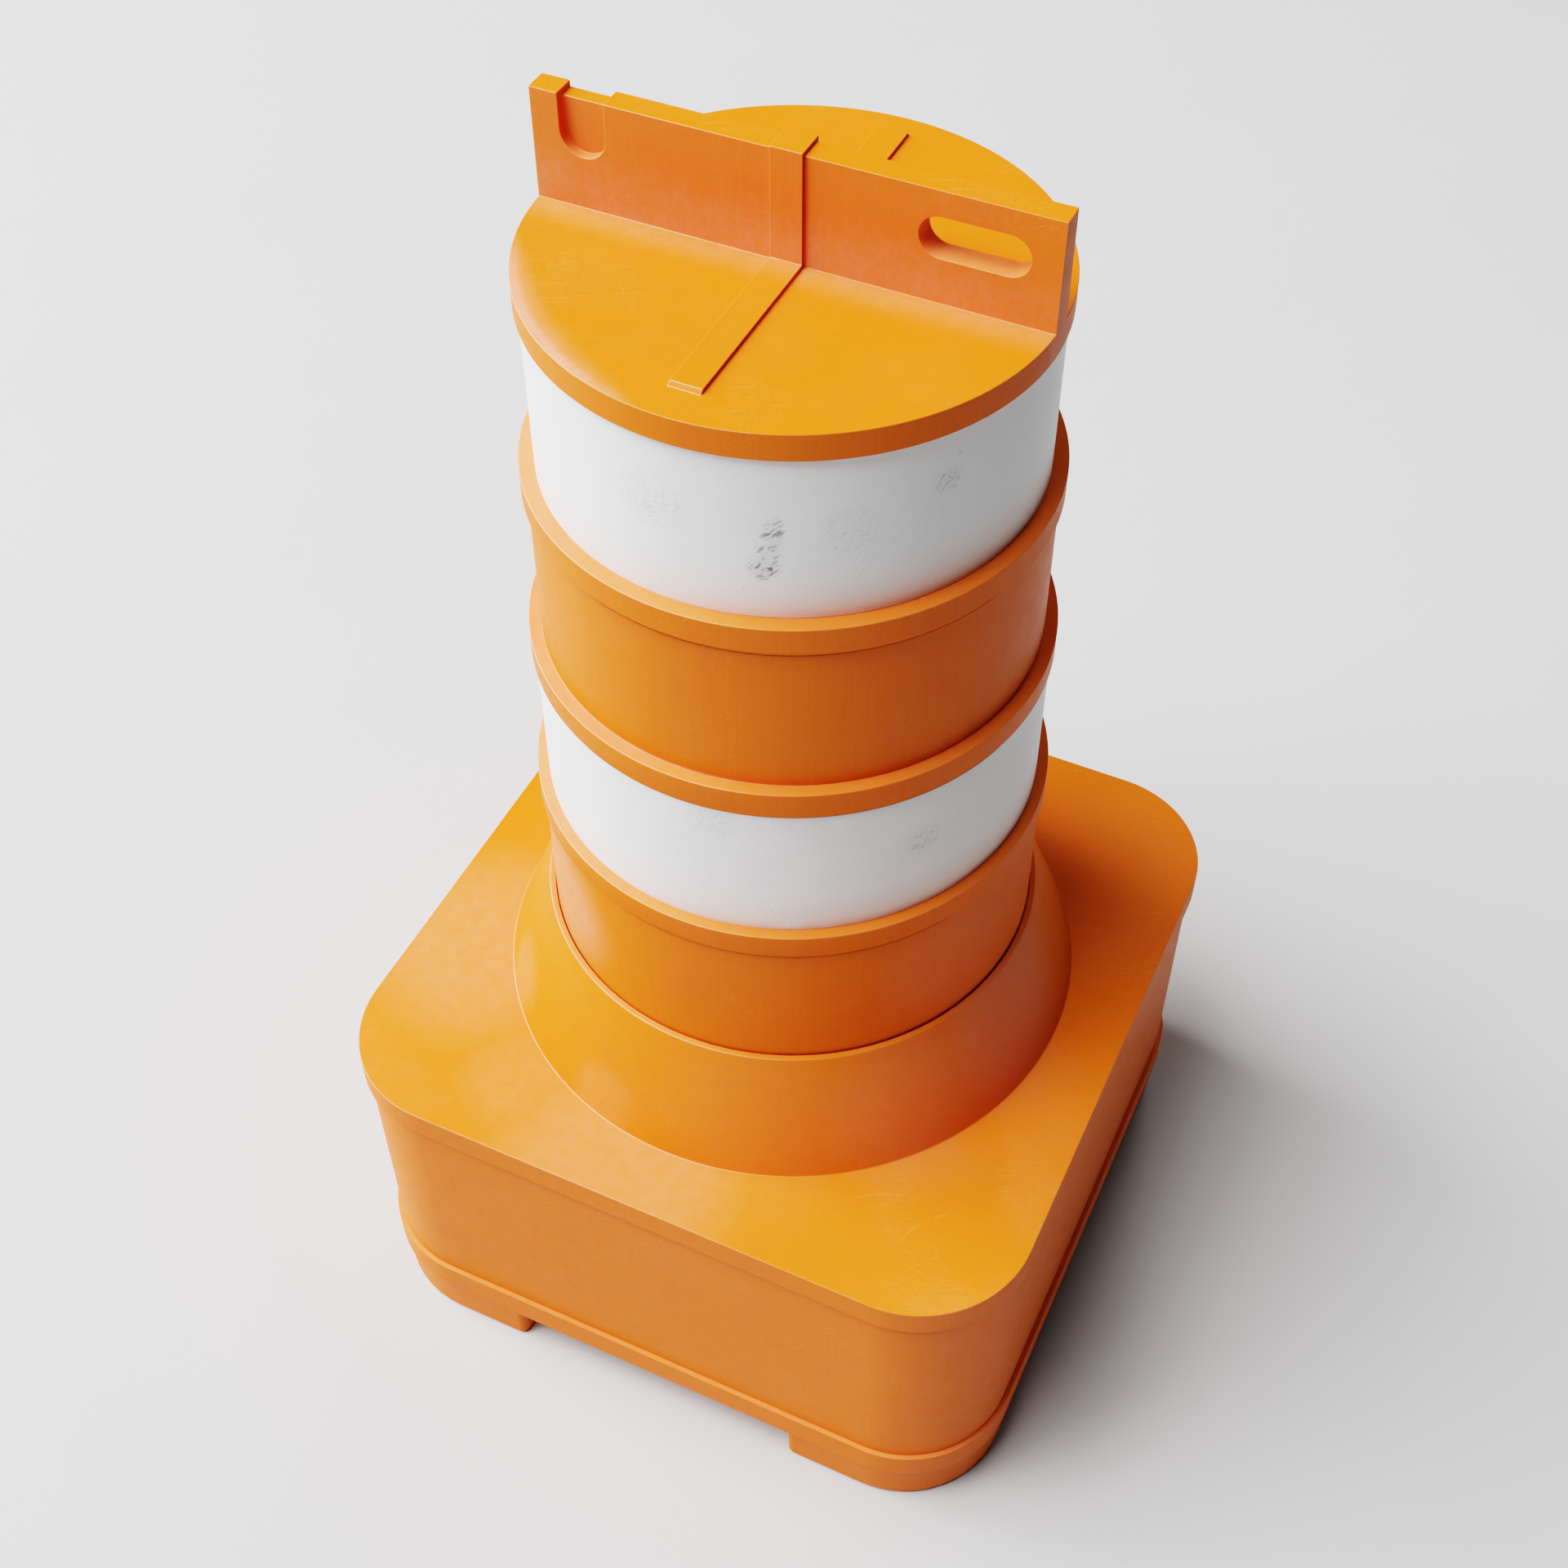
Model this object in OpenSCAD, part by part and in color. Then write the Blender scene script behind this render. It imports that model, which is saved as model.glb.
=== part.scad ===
// Channelizing barrel drum: a tapered, banded drum with a finned cap, seated in a ballasted square base.
// Origin: centre of the underside. +Z is up, the grip fin runs along X, and -Y is the front.

/* [Base] */
// Width of the square base across its flats
base_w = 600; // [560:2:640]
// Radius of the base's upright corners
base_corner_r = 97; // [80:1:110]
// Height of the base's flat top above the ground
base_top_z = 324; // [310:1:360]
// Height of the upright rim round the top slab
slab_rim_h = 26; // [16:1:34]
// How far the side walls sit back under the slab
wall_recess = 4; // [2:0.5:6]
// Height of the ledge where the cover sits on the tray
ledge_z = 75; // [70:1:85]
// Height of the tray's underside, which is the height of the fork channels
tray_z = 47; // [40:1:52]
// Width of the fork channels between the feet
channel_w = 264; // [220:2:280]

/* [Collar] */
// Radius of the cone where it meets the slab
cone_foot_r = 243.5; // [236:0.5:250]
// Radius of the collar's lip at the top of the cone
lip_r = 203.5; // [203:0.25:208]
// Radius of the hole in the lip that the drum drops through
lip_bore_r = 198.6; // [198.4:0.1:199.6]

/* [Drum] */
// Height of the cap's disc above the base's flat top
drum_rise = 700; // [640:1:760]
// Distance from one ring's ledge to the next
ring_pitch = 149; // [130:1:152]
// Radii of the three rings, from the top down
ring_r = [189, 195, 201]; // [184:0.5:204]
// Height of each ring's upright face
ring_h = 20; // [12:1:26]
// Outer radii of the four banded lands, from the top down
land_r = [178, 185.5, 192.5, 198]; // [176:0.5:198]
// Thickness of the sheeting on the lands
sheeting_t = 0.8; // [0.5:0.1:1]

/* [Cap and fin] */
// Radius of the cap
cap_r = 181; // [180:0.5:184]
// Height of the cap's rim
cap_rim_h = 20; // [16:1:24]
// Height of the grip fin above the disc
fin_h = 79; // [74:1:90]
// Thickness of the grip fin
fin_t = 18; // [16:1:24]
// Centre of the hand slot along the fin
slot_x = 124; // [110:1:128]
// Height of the hand slot's centre above the disc
slot_z = 46.5; // [40:0.5:50]
// Half the distance between the hand slot's end radii
slot_half = 22; // [16:1:26]
// Radius of the hand slot's ends
slot_r = 14.5; // [11:0.5:16]
// Centre of the lamp pocket along the fin
pocket_x = -144; // [-150:1:-138]
// Radius of the lamp pocket's round end
pocket_r = 16.4; // [12:0.1:18]
// Height of the pocket's end radius above the disc
pocket_z = 53.5; // [45:0.5:60]
// Depth of the lamp pocket in the fin's front face
pocket_depth = 6.7; // [5:0.1:8]
// How far the fin's top is lowered over the pocket
pocket_drop = 4.5; // [3:0.5:8]
// Width of the raised strap over the cap and fin
strap_w = 22.6; // [16:0.2:30]
// Height of the strap above the surface it crosses
strap_t = 2.8; // [2:0.1:4]
// Reach of the strap towards the front of the disc
strap_front = 154; // [140:1:165]
// Reach of the strap towards the rear of the disc
strap_rear = 162; // [140:1:168]

/* [Walls and fits] */
// Wall of the moulded plastic parts
wall = 4; // [3:0.5:5]
// Height of the seat that the drum's foot stands on
seat_z = 300; // [296:1:306]
// Gap between the drum's foot and the socket around it
socket_gap = 0.4; // [0.3:0.05:0.6]
// Gap under the drum's foot, and between fitted mouldings
seat_gap = 0.3; // [0.2:0.05:0.5]
// Thickness of each ballast slab
slab_t = 50; // [35:1:60]

/* [Hidden] */
$fn = 96;
eps = 0.01;

orange = "#ee8a1d";
deep_orange = "#df7a1c";
white_film = "#ececea";
orange_film = "#e5811f";
black_rubber = "#2a2a2a";
zinc = "#b9bcc0";

corner_c = base_w / 2 - base_corner_r;
disc_z = base_top_z + drum_rise;
lip_z = disc_z - 4 * ring_pitch;
foot_z = seat_z + seat_gap;
cap_bottom_z = disc_z - cap_rim_h;
neck_top_z = disc_z - wall - seat_gap;
ring_under = 6;
edge_gap = 0.5;
skin_wall = wall - sheeting_t;

// Base details
slab_chamfer = 4;
cover_in = wall_recess + wall;
tray_rim = 16;
tray_floor = 4;
upstand_h = 20;
foot_bevel_h = 6;
foot_edge = 3;
pad_proud = 1;
pad_r = 40;
pad_t = 4;
pad_gap = 0.2;
foot_c = 205;
core_r = 58;
core_z = 10;
bolt_boss_r = 14;
bolt_r = 5.9;
bolt_bore_r = 6;
bolt_tip_z = 24;
bolt_bore_z = 20;
washer_r = 14;
washer_t = 3;
hex_r = 11;
hex_h = 7.5;
slab_inset = 35;
slab_eye_r = 50;
slab_bolt_r = 6.6;
cover_boss_c = 258;
cover_boss_r = 12;
cover_boss_h = 40;
tray_pad_r = 14;
head_r = 5;
head_h = 3;
screw_r = 2.3;
pilot_r = 2.4;
screw_hole_r = 2.7;
counterbore_r = 7;

// Socket details
cone_wall = 4.4;
socket_wall = 2.8;
socket_bore_r = land_r[3] - sheeting_t + socket_gap;
socket_boss_r = 6;
socket_boss_h = 12;
socket_flange_r = 260;
socket_screw_pcr = 252;
socket_screw_n = 8;
drain_r = 10;
key_w = 12;
key_h = 22;
key_in = 6;
key_gap = 1;

// Cap details
cap_wall = 3.5;
fin_wall = 3.2;
slot_wall = 3;
cap_boss_r = 6;
cap_screw_pcr = 150;
cap_screw_n = 6;
neck_flange_r = 138;
strap_ramp = 3;

function ring_z(i) = disc_z - i * ring_pitch;
function land_top(i) = i == 0 ? cap_bottom_z : ring_z(i) - ring_h - ring_under;
function land_bottom(i) = i == 3 ? lip_z : ring_z(i + 1);
function skin_r(i) = land_r[i] - sheeting_t;
function cone_r(z) = lip_r + (lip_z - z) * (cone_foot_r - lip_r) / (lip_z - base_top_z);

// One stretch of the drum's side: the land above ring i, the ring, and its sloped underside
function ring_points(i, t) = [
    [skin_r(i - 1) - t, ring_z(i) - t],
    [ring_r[i - 1] - t, ring_z(i) - t],
    [ring_r[i - 1] - t, ring_z(i) - ring_h],
    [skin_r(i) - t, ring_z(i) - ring_h - ring_under]];

function drum_side(t) = [for (i = [1:3]) each ring_points(i, t)];
function reversed(v) = [for (i = [len(v) - 1:-1:0]) v[i]];

module at_corners(c) {
    for (sx = [-1, 1])
        for (sy = [-1, 1])
            translate([sx * c, sy * c, 0])
                children();
}

module at_circle(radius, count) {
    for (i = [0:count - 1])
        rotate([0, 0, (i + 0.5) * 360 / count])
            translate([radius, 0, 0])
                children();
}

// Plan of the base, drawn in by inset all round
module base_outline(inset) {
    side = base_w - 2 * inset;
    square([side, 2 * corner_c], center = true);
    square([2 * corner_c, side], center = true);
    for (sx = [-1, 1])
        for (sy = [-1, 1])
            translate([sx * corner_c, sy * corner_c])
                circle(r = base_corner_r - inset);
}

module base_slice(inset, z0, z1) {
    translate([0, 0, z0])
        linear_extrude(height = z1 - z0)
            base_outline(inset);
}

// A slice whose sides slope from one inset at z0 to another at z1
module base_slope(inset0, inset1, z0, z1) {
    h = z1 - z0;
    w0 = base_w / 2 - inset0;
    w1 = base_w / 2 - inset1;
    section = [[-w0, z0], [w0, z0], [w1, z1], [-w1, z1]];
    for (turn = [0, 90])
        rotate([90, 0, turn])
            linear_extrude(height = 2 * corner_c, center = true)
                polygon(section);
    at_corners(corner_c)
        translate([0, 0, z0])
            cylinder(h = h, r1 = base_corner_r - inset0, r2 = base_corner_r - inset1);
}

module screw(z_head, length) {
    translate([0, 0, z_head])
        cylinder(h = head_h, r = head_r);
    translate([0, 0, z_head + head_h - eps])
        cylinder(h = length, r = screw_r);
}

// Base cover: slab, side walls and the cone that makes the collar
module base_cover_body() {
    slab_z = base_top_z - slab_rim_h;
    base_slice(0, slab_z, base_top_z);
    base_slope(wall_recess, 0, slab_z - slab_chamfer, slab_z);
    base_slice(wall_recess, ledge_z, slab_z - slab_chamfer);
    translate([0, 0, base_top_z - eps])
        cylinder(h = lip_z - base_top_z + eps, r1 = cone_foot_r, r2 = lip_r);
}

module base_cover_hollow() {
    roof_z = base_top_z - wall;
    neck_z = lip_z - wall;
    base_slice(cover_in, ledge_z - 1, roof_z);
    translate([0, 0, roof_z - 1])
        cylinder(h = neck_z - roof_z + 1, r1 = cone_r(roof_z) - cone_wall, r2 = cone_r(neck_z) - cone_wall);
    translate([0, 0, neck_z - 1])
        cylinder(h = wall + 2, r = lip_bore_r);
}

module base_cover() {
    roof_z = base_top_z - wall;
    boss_z = roof_z - socket_boss_h;
    color(orange)
        difference() {
            union() {
                difference() {
                    base_cover_body();
                    base_cover_hollow();
                }
                at_corners(cover_boss_c)
                    translate([0, 0, ledge_z])
                        cylinder(h = cover_boss_h, r = cover_boss_r);
                at_circle(socket_screw_pcr, socket_screw_n)
                    translate([0, 0, boss_z])
                        cylinder(h = socket_boss_h + 1, r = socket_boss_r);
            }
            at_corners(cover_boss_c)
                translate([0, 0, ledge_z - 1])
                    cylinder(h = cover_boss_h - wall, r = pilot_r);
            at_circle(socket_screw_pcr, socket_screw_n)
                translate([0, 0, boss_z - 1])
                    cylinder(h = socket_boss_h - 1, r = pilot_r);
        }
}

// Base tray: floor, rim, upstand that locates the cover, and the four feet
module foot_block() {
    foot_in = wall_recess;
    difference() {
        union() {
            base_slope(foot_in, 0, tray_z - foot_bevel_h, tray_z);
            base_slice(foot_in, pad_proud + foot_edge, tray_z - foot_bevel_h);
            base_slope(foot_in + foot_edge, foot_in, pad_proud, pad_proud + foot_edge);
        }
        for (turn = [0, 90])
            rotate([0, 0, turn])
                translate([-base_w, -channel_w / 2, -1])
                    cube([2 * base_w, channel_w, tray_z + 1]);
    }
}

module tray_upstand() {
    difference() {
        base_slice(cover_in + seat_gap, ledge_z - 1, ledge_z + upstand_h);
        base_slice(cover_in + wall, ledge_z - 2, ledge_z + upstand_h + 1);
        at_corners(cover_boss_c)
            translate([0, 0, ledge_z])
                cylinder(h = upstand_h + 1, r = cover_boss_r + edge_gap);
    }
}

module base_tray() {
    floor_top = tray_z + tray_floor;
    color(deep_orange)
        difference() {
            union() {
                foot_block();
                difference() {
                    base_slice(0, tray_z, ledge_z);
                    base_slice(tray_rim, floor_top, ledge_z + 1);
                }
                tray_upstand();
                at_corners(cover_boss_c)
                    translate([0, 0, floor_top - 1])
                        cylinder(h = ledge_z - floor_top + 1, r = tray_pad_r);
            }
            at_corners(foot_c) {
                difference() {
                    translate([0, 0, core_z])
                        cylinder(h = floor_top - core_z + 1, r = core_r);
                    translate([0, 0, core_z - 1])
                        cylinder(h = floor_top - core_z + 3, r = bolt_boss_r);
                }
                translate([0, 0, bolt_bore_z])
                    cylinder(h = floor_top - bolt_bore_z + 1, r = bolt_bore_r);
                translate([0, 0, -1])
                    cylinder(h = pad_t + 1, r = pad_r + pad_gap);
            }
            at_corners(cover_boss_c) {
                translate([0, 0, -1])
                    cylinder(h = ledge_z + 2, r = screw_hole_r);
                translate([0, 0, -1])
                    cylinder(h = tray_z + 1, r = counterbore_r);
            }
        }
}

// Socket: the cup inside the cone that the drum's foot stands in
module socket_keys() {
    for (i = [0:3])
        rotate([0, 0, i * 90])
            translate([socket_bore_r - key_in, -key_w / 2, seat_z - 1])
                cube([key_in + 1, key_w, key_h + 1]);
}

module drum_socket() {
    top_z = lip_z - wall;
    flange_z = base_top_z - wall - socket_boss_h;
    outer_r = socket_bore_r + socket_wall;
    color(deep_orange)
        difference() {
            union() {
                difference() {
                    union() {
                        translate([0, 0, seat_z - wall])
                            cylinder(h = top_z - seat_z + wall, r = outer_r);
                        translate([0, 0, flange_z - wall])
                            cylinder(h = wall, r = socket_flange_r);
                    }
                    translate([0, 0, seat_z])
                        cylinder(h = top_z - seat_z + 1, r = socket_bore_r);
                }
                socket_keys();
            }
            translate([0, 0, seat_z - wall - 1])
                cylinder(h = wall + 2, r = drain_r);
            at_circle(socket_screw_pcr, socket_screw_n)
                translate([0, 0, flange_z - wall - 1])
                    cylinder(h = wall + 2, r = screw_hole_r);
        }
}

// Ballast: two rubber slabs bolted down into the feet
module ballast_slab(level) {
    z0 = tray_z + tray_floor + level * slab_t;
    color(black_rubber)
        difference() {
            base_slice(slab_inset, z0, z0 + slab_t);
            translate([0, 0, z0 - 1])
                cylinder(h = slab_t + 2, r = slab_eye_r);
            at_corners(foot_c)
                translate([0, 0, z0 - 1])
                    cylinder(h = slab_t + 2, r = slab_bolt_r);
        }
}

module lower_ballast_slab() {
    ballast_slab(0);
}

module upper_ballast_slab() {
    ballast_slab(1);
}

module ballast_bolts() {
    head_z = tray_z + tray_floor + 2 * slab_t + washer_t;
    color(zinc)
        at_corners(foot_c) {
            translate([0, 0, head_z])
                cylinder(h = hex_h, r = hex_r, $fn = 6);
            translate([0, 0, bolt_tip_z])
                cylinder(h = head_z - bolt_tip_z + eps, r = bolt_r);
        }
}

module ballast_washers() {
    z0 = tray_z + tray_floor + 2 * slab_t;
    color(zinc)
        at_corners(foot_c)
            difference() {
                translate([0, 0, z0])
                    cylinder(h = washer_t, r = washer_r);
                translate([0, 0, z0 - 1])
                    cylinder(h = washer_t + 2, r = slab_bolt_r);
            }
}

module tray_screws() {
    color(zinc)
        at_corners(cover_boss_c)
            screw(tray_z - head_h, ledge_z - tray_z + cover_boss_h / 2);
}

module socket_screws() {
    flange_under = base_top_z - wall - socket_boss_h - wall;
    color(zinc)
        at_circle(socket_screw_pcr, socket_screw_n)
            screw(flange_under - head_h, wall + socket_boss_h - wall);
}

module foot_pad(sx, sy) {
    color(black_rubber)
        translate([sx * foot_c, sy * foot_c, 0])
            cylinder(h = pad_t, r = pad_r);
}

module front_left_foot_pad() {
    foot_pad(-1, -1);
}

module front_right_foot_pad() {
    foot_pad(1, -1);
}

module rear_left_foot_pad() {
    foot_pad(-1, 1);
}

module rear_right_foot_pad() {
    foot_pad(1, 1);
}

// Drum shell: one hollow moulding with three rings, a screw flange at the neck and a keyed foot
module drum_wall() {
    outer = concat([[skin_r(0), neck_top_z]], drum_side(0), [[skin_r(3), foot_z]]);
    inner = concat([[skin_r(0) - wall, neck_top_z]], drum_side(wall), [[skin_r(3) - wall, foot_z]]);
    rotate_extrude()
        polygon(concat(outer, reversed(inner)));
}

module neck_flange() {
    translate([0, 0, cap_bottom_z - wall])
        difference() {
            cylinder(h = wall, r = skin_r(0) - wall / 2);
            translate([0, 0, -1])
                cylinder(h = wall + 2, r = neck_flange_r);
            at_circle(cap_screw_pcr, cap_screw_n)
                translate([0, 0, -1])
                    cylinder(h = wall + 2, r = screw_hole_r);
        }
}

module foot_notches() {
    notch_w = key_w + 2 * key_gap;
    for (i = [0:3])
        rotate([0, 0, i * 90])
            translate([socket_bore_r - key_in - wall, -notch_w / 2, foot_z - 1])
                cube([key_in + 2 * wall, notch_w, key_h + key_gap + 1]);
}

module drum_shell() {
    color(orange)
        difference() {
            union() {
                drum_wall();
                neck_flange();
            }
            foot_notches();
        }
}

// Cap: rimmed disc with a hollow grip fin, a raised strap and screw bosses
module slot_outline(grow) {
    for (sx = [-1, 1])
        translate([slot_x + sx * slot_half, slot_z])
            circle(r = slot_r + grow);
    translate([slot_x, slot_z])
        square([2 * slot_half, 2 * (slot_r + grow)], center = true);
}

module across_fin(depth) {
    translate([0, 0, disc_z])
        rotate([90, 0, 0])
            linear_extrude(height = depth, center = true)
                children();
}

module fin_blank() {
    intersection() {
        translate([-cap_r, -fin_t / 2, disc_z - wall])
            cube([2 * cap_r, fin_t, fin_h + wall]);
        translate([0, 0, disc_z - wall])
            cylinder(h = fin_h + wall, r = cap_r);
    }
}

module fin_hollow() {
    cavity_x0 = pocket_x + pocket_r + slot_wall;
    cavity_x1 = cap_r - 2 * fin_wall;
    cavity_t = fin_t - 2 * fin_wall;
    difference() {
        translate([cavity_x0, -cavity_t / 2, disc_z - wall - 1])
            cube([cavity_x1 - cavity_x0, cavity_t, fin_h + 1]);
        across_fin(fin_t)
            slot_outline(slot_wall);
    }
}

module lamp_pocket() {
    front_y = -fin_t / 2;
    translate([pocket_x, front_y + pocket_depth, disc_z + pocket_z])
        rotate([90, 0, 0])
            cylinder(h = pocket_depth + 1, r = pocket_r);
    translate([pocket_x - pocket_r, front_y - 1, disc_z + pocket_z])
        cube([2 * pocket_r, pocket_depth + 1, fin_h]);
    translate([pocket_x - pocket_r, front_y - 1, disc_z + fin_h - pocket_drop])
        cube([2 * pocket_r, fin_t + 2, fin_h]);
}

module cap_strap() {
    face_y = fin_t / 2 + strap_t;
    crown_z = fin_h + strap_t;
    profile = [
        [-strap_front, -1], [-strap_front, 0], [-strap_front + strap_ramp, strap_t],
        [-face_y, strap_t], [-face_y, crown_z], [face_y, crown_z], [face_y, strap_t],
        [strap_rear - strap_ramp, strap_t], [strap_rear, 0], [strap_rear, -1]];
    translate([-strap_w / 2, 0, disc_z])
        rotate([90, 0, 90])
            linear_extrude(height = strap_w)
                polygon(profile);
}

module cap_dish() {
    difference() {
        translate([0, 0, cap_bottom_z])
            cylinder(h = cap_rim_h, r = cap_r);
        translate([0, 0, cap_bottom_z - 1])
            cylinder(h = cap_rim_h - wall + 1, r = cap_r - cap_wall);
    }
    at_circle(cap_screw_pcr, cap_screw_n)
        translate([0, 0, cap_bottom_z])
            cylinder(h = cap_rim_h - wall / 2, r = cap_boss_r);
}

module top_cap() {
    color(orange)
        difference() {
            union() {
                cap_dish();
                fin_blank();
                cap_strap();
            }
            fin_hollow();
            lamp_pocket();
            across_fin(3 * fin_t)
                slot_outline(0);
            at_circle(cap_screw_pcr, cap_screw_n)
                translate([0, 0, cap_bottom_z - 1])
                    cylinder(h = cap_rim_h - wall + 1, r = pilot_r);
        }
}

module cap_screws() {
    color(zinc)
        at_circle(cap_screw_pcr, cap_screw_n)
            screw(cap_bottom_z - wall - head_h, cap_rim_h - wall);
}

// Sheeting: one wrapped film on each land
module sheeting_band(i, film) {
    z0 = land_bottom(i) + edge_gap;
    z1 = land_top(i) - edge_gap;
    color(film)
        translate([0, 0, z0])
            difference() {
                cylinder(h = z1 - z0, r = land_r[i]);
                translate([0, 0, -1])
                    cylinder(h = z1 - z0 + 2, r = skin_r(i));
            }
}

module upper_white_sheeting() {
    sheeting_band(0, white_film);
}

module upper_orange_sheeting() {
    sheeting_band(1, orange_film);
}

module lower_white_sheeting() {
    sheeting_band(2, white_film);
}

module lower_orange_sheeting() {
    sheeting_band(3, orange_film);
}

base_cover();
base_tray();
drum_socket();
lower_ballast_slab();
upper_ballast_slab();
ballast_bolts();
ballast_washers();
tray_screws();
socket_screws();
front_left_foot_pad();
front_right_foot_pad();
rear_left_foot_pad();
rear_right_foot_pad();
drum_shell();
top_cap();
cap_screws();
upper_white_sheeting();
upper_orange_sheeting();
lower_white_sheeting();
lower_orange_sheeting();
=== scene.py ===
import math

import bmesh
import bpy
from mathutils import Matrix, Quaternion, Vector


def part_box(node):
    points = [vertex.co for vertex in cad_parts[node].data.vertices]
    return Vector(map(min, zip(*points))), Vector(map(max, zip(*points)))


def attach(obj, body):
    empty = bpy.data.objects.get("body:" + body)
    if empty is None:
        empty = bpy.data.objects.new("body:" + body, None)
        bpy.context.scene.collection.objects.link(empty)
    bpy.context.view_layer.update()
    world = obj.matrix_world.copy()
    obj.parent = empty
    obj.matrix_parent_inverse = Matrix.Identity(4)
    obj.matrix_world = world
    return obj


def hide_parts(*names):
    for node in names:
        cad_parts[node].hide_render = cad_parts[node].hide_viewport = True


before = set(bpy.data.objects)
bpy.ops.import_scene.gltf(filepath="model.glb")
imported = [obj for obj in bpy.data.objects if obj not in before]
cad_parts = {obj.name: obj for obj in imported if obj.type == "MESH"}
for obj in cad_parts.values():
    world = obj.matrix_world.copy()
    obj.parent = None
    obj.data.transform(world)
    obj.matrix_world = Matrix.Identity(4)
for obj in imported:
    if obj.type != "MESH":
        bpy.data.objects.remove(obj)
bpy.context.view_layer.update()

# ------------------------------------------------------------------------------------------
# Sizes in metres. Boxes, radii and heights are read from the CAD frame where it gives them.
# The other sizes repeat values of part.scad, or are finer details that only this picture has.
# ------------------------------------------------------------------------------------------
MM = 0.001
HAIR = 1e-5

UPPER_WHITE, UPPER_ORANGE = "upper_white_sheeting", "upper_orange_sheeting"
LOWER_WHITE, LOWER_ORANGE = "lower_white_sheeting", "lower_orange_sheeting"
SHEETS = [UPPER_WHITE, UPPER_ORANGE, LOWER_WHITE, LOWER_ORANGE]
DRUM_STEPS = 288  # points round a turned piece
SIDE_STEPS = 24  # points along each side of the base's outline
CORNER_STEPS = 24  # points round each corner of the base's outline
ROD_STEPS = 32  # points round a rod

CAP_EDGE = 0.6 * MM
SHELL_EDGE = 0.8 * MM
BASE_EDGE = 0.8 * MM
TRAY_EDGE = 0.7 * MM
FILM_EDGE = 0.2 * MM

STRAP_HALF = 11.3 * MM
RIM_H = 26 * MM


def cad_points(node):
    """The CAD node's vertices."""
    return [v.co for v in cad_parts[node].data.vertices]


def radius(point):
    return math.hypot(point.x, point.y)


def low(node):
    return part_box(node)[0]


def high(node):
    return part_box(node)[1]


def levels(node):
    """The distinct heights of the CAD node's vertices, from the lowest up."""
    return sorted({round(p.z, 5) for p in cad_points(node)})


def widest(node, z0, z1):
    """The CAD node's largest radius between two heights, and the lowest and highest point that has it."""
    near = [p for p in cad_points(node) if z0 - HAIR < p.z < z1 + HAIR]
    r = max(radius(p) for p in near)
    heights = [p.z for p in near if radius(p) > r - HAIR]
    return r, min(heights), max(heights)


# ------------------------------------------------------------------------------------------
# Mesh building
# ------------------------------------------------------------------------------------------
def finish_object(name, bm):
    """A new object that holds bm's mesh."""
    bmesh.ops.remove_doubles(bm, verts=bm.verts, dist=HAIR / 10)
    bmesh.ops.recalc_face_normals(bm, faces=bm.faces)
    mesh = bpy.data.meshes.new(name)
    bm.to_mesh(mesh)
    bm.free()
    obj = bpy.data.objects.new(name, mesh)
    bpy.context.scene.collection.objects.link(obj)
    return obj


def loft(name, loops, closed):
    """A solid through loops of equal length.

    A closed one joins the last loop to the first, and an open one is capped.
    """
    bm = bmesh.new()
    rings = [[bm.verts.new(p) for p in loop] for loop in loops]
    pairs = list(zip(rings, rings[1:] + rings[:1])) if closed else list(zip(rings, rings[1:]))
    for a, b in pairs:
        for i in range(len(a)):
            k = (i + 1) % len(a)
            bm.faces.new((a[i], a[k], b[k], b[i]))
    if not closed:
        bm.faces.new(rings[0])
        bm.faces.new(rings[-1])
    return finish_object(name, bm)


def circle(r, z, steps=DRUM_STEPS, centre=(0, 0)):
    turns = [2 * math.pi * i / steps for i in range(steps)]
    return [Vector((centre[0] + r * math.cos(a), centre[1] + r * math.sin(a), z)) for a in turns]


def turned(name, profile, steps=DRUM_STEPS, centre=(0, 0)):
    """A hollow solid of revolution from a closed profile of (radius, height)."""
    return loft(name, [circle(r, z, steps, centre) for r, z in profile], True)


def rod(name, r, z0, z1, centre=(0, 0), steps=ROD_STEPS):
    return loft(name, [circle(r, z0, steps, centre), circle(r, z1, steps, centre)], False)


def prism(name, outline, to_point, depth0, depth1):
    """A solid with a flat outline, swept from depth0 to depth1. to_point places (u, v, depth)."""
    return loft(name, [[to_point(u, v, d) for u, v in outline] for d in (depth0, depth1)], False)


def along_y(u, v, d):
    return Vector((u, d, v))


def along_x(u, v, d):
    return Vector((d, u, v))


def along_z(u, v, d):
    return Vector((u, v, d))


def arc(centre, r, start, end, steps):
    angles = [start + (end - start) * i / steps for i in range(steps + 1)]
    return [(centre[0] + r * math.cos(a), centre[1] + r * math.sin(a)) for a in angles]


def turned_by(spoke, angle):
    """A flat vector turned about its start."""
    cos, sin = math.cos(angle), math.sin(angle)
    return Vector((spoke.x * cos - spoke.y * sin, spoke.x * sin + spoke.y * cos))


def rounded_outline(corners, steps):
    """An outline through corners of (u, v, radius), each turned by an arc."""
    points = []
    count = len(corners)
    for i, (u, v, r) in enumerate(corners):
        here = Vector((u, v))
        back = (Vector(corners[i - 1][:2]) - here).normalized()
        on = (Vector(corners[(i + 1) % count][:2]) - here).normalized()
        half = back.angle(on) / 2
        centre = here + (back + on).normalized() * (r / math.sin(half))
        start = here + back * (r / math.tan(half)) - centre
        end = here + on * (r / math.tan(half)) - centre
        turn = start.angle_signed(end)
        for k in range(steps + 1):
            points.append(tuple(centre + turned_by(start, -turn * k / steps)))
    return points


def box_outline(u0, v0, u1, v1):
    return [(u0, v0), (u1, v0), (u1, v1), (u0, v1)]


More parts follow.
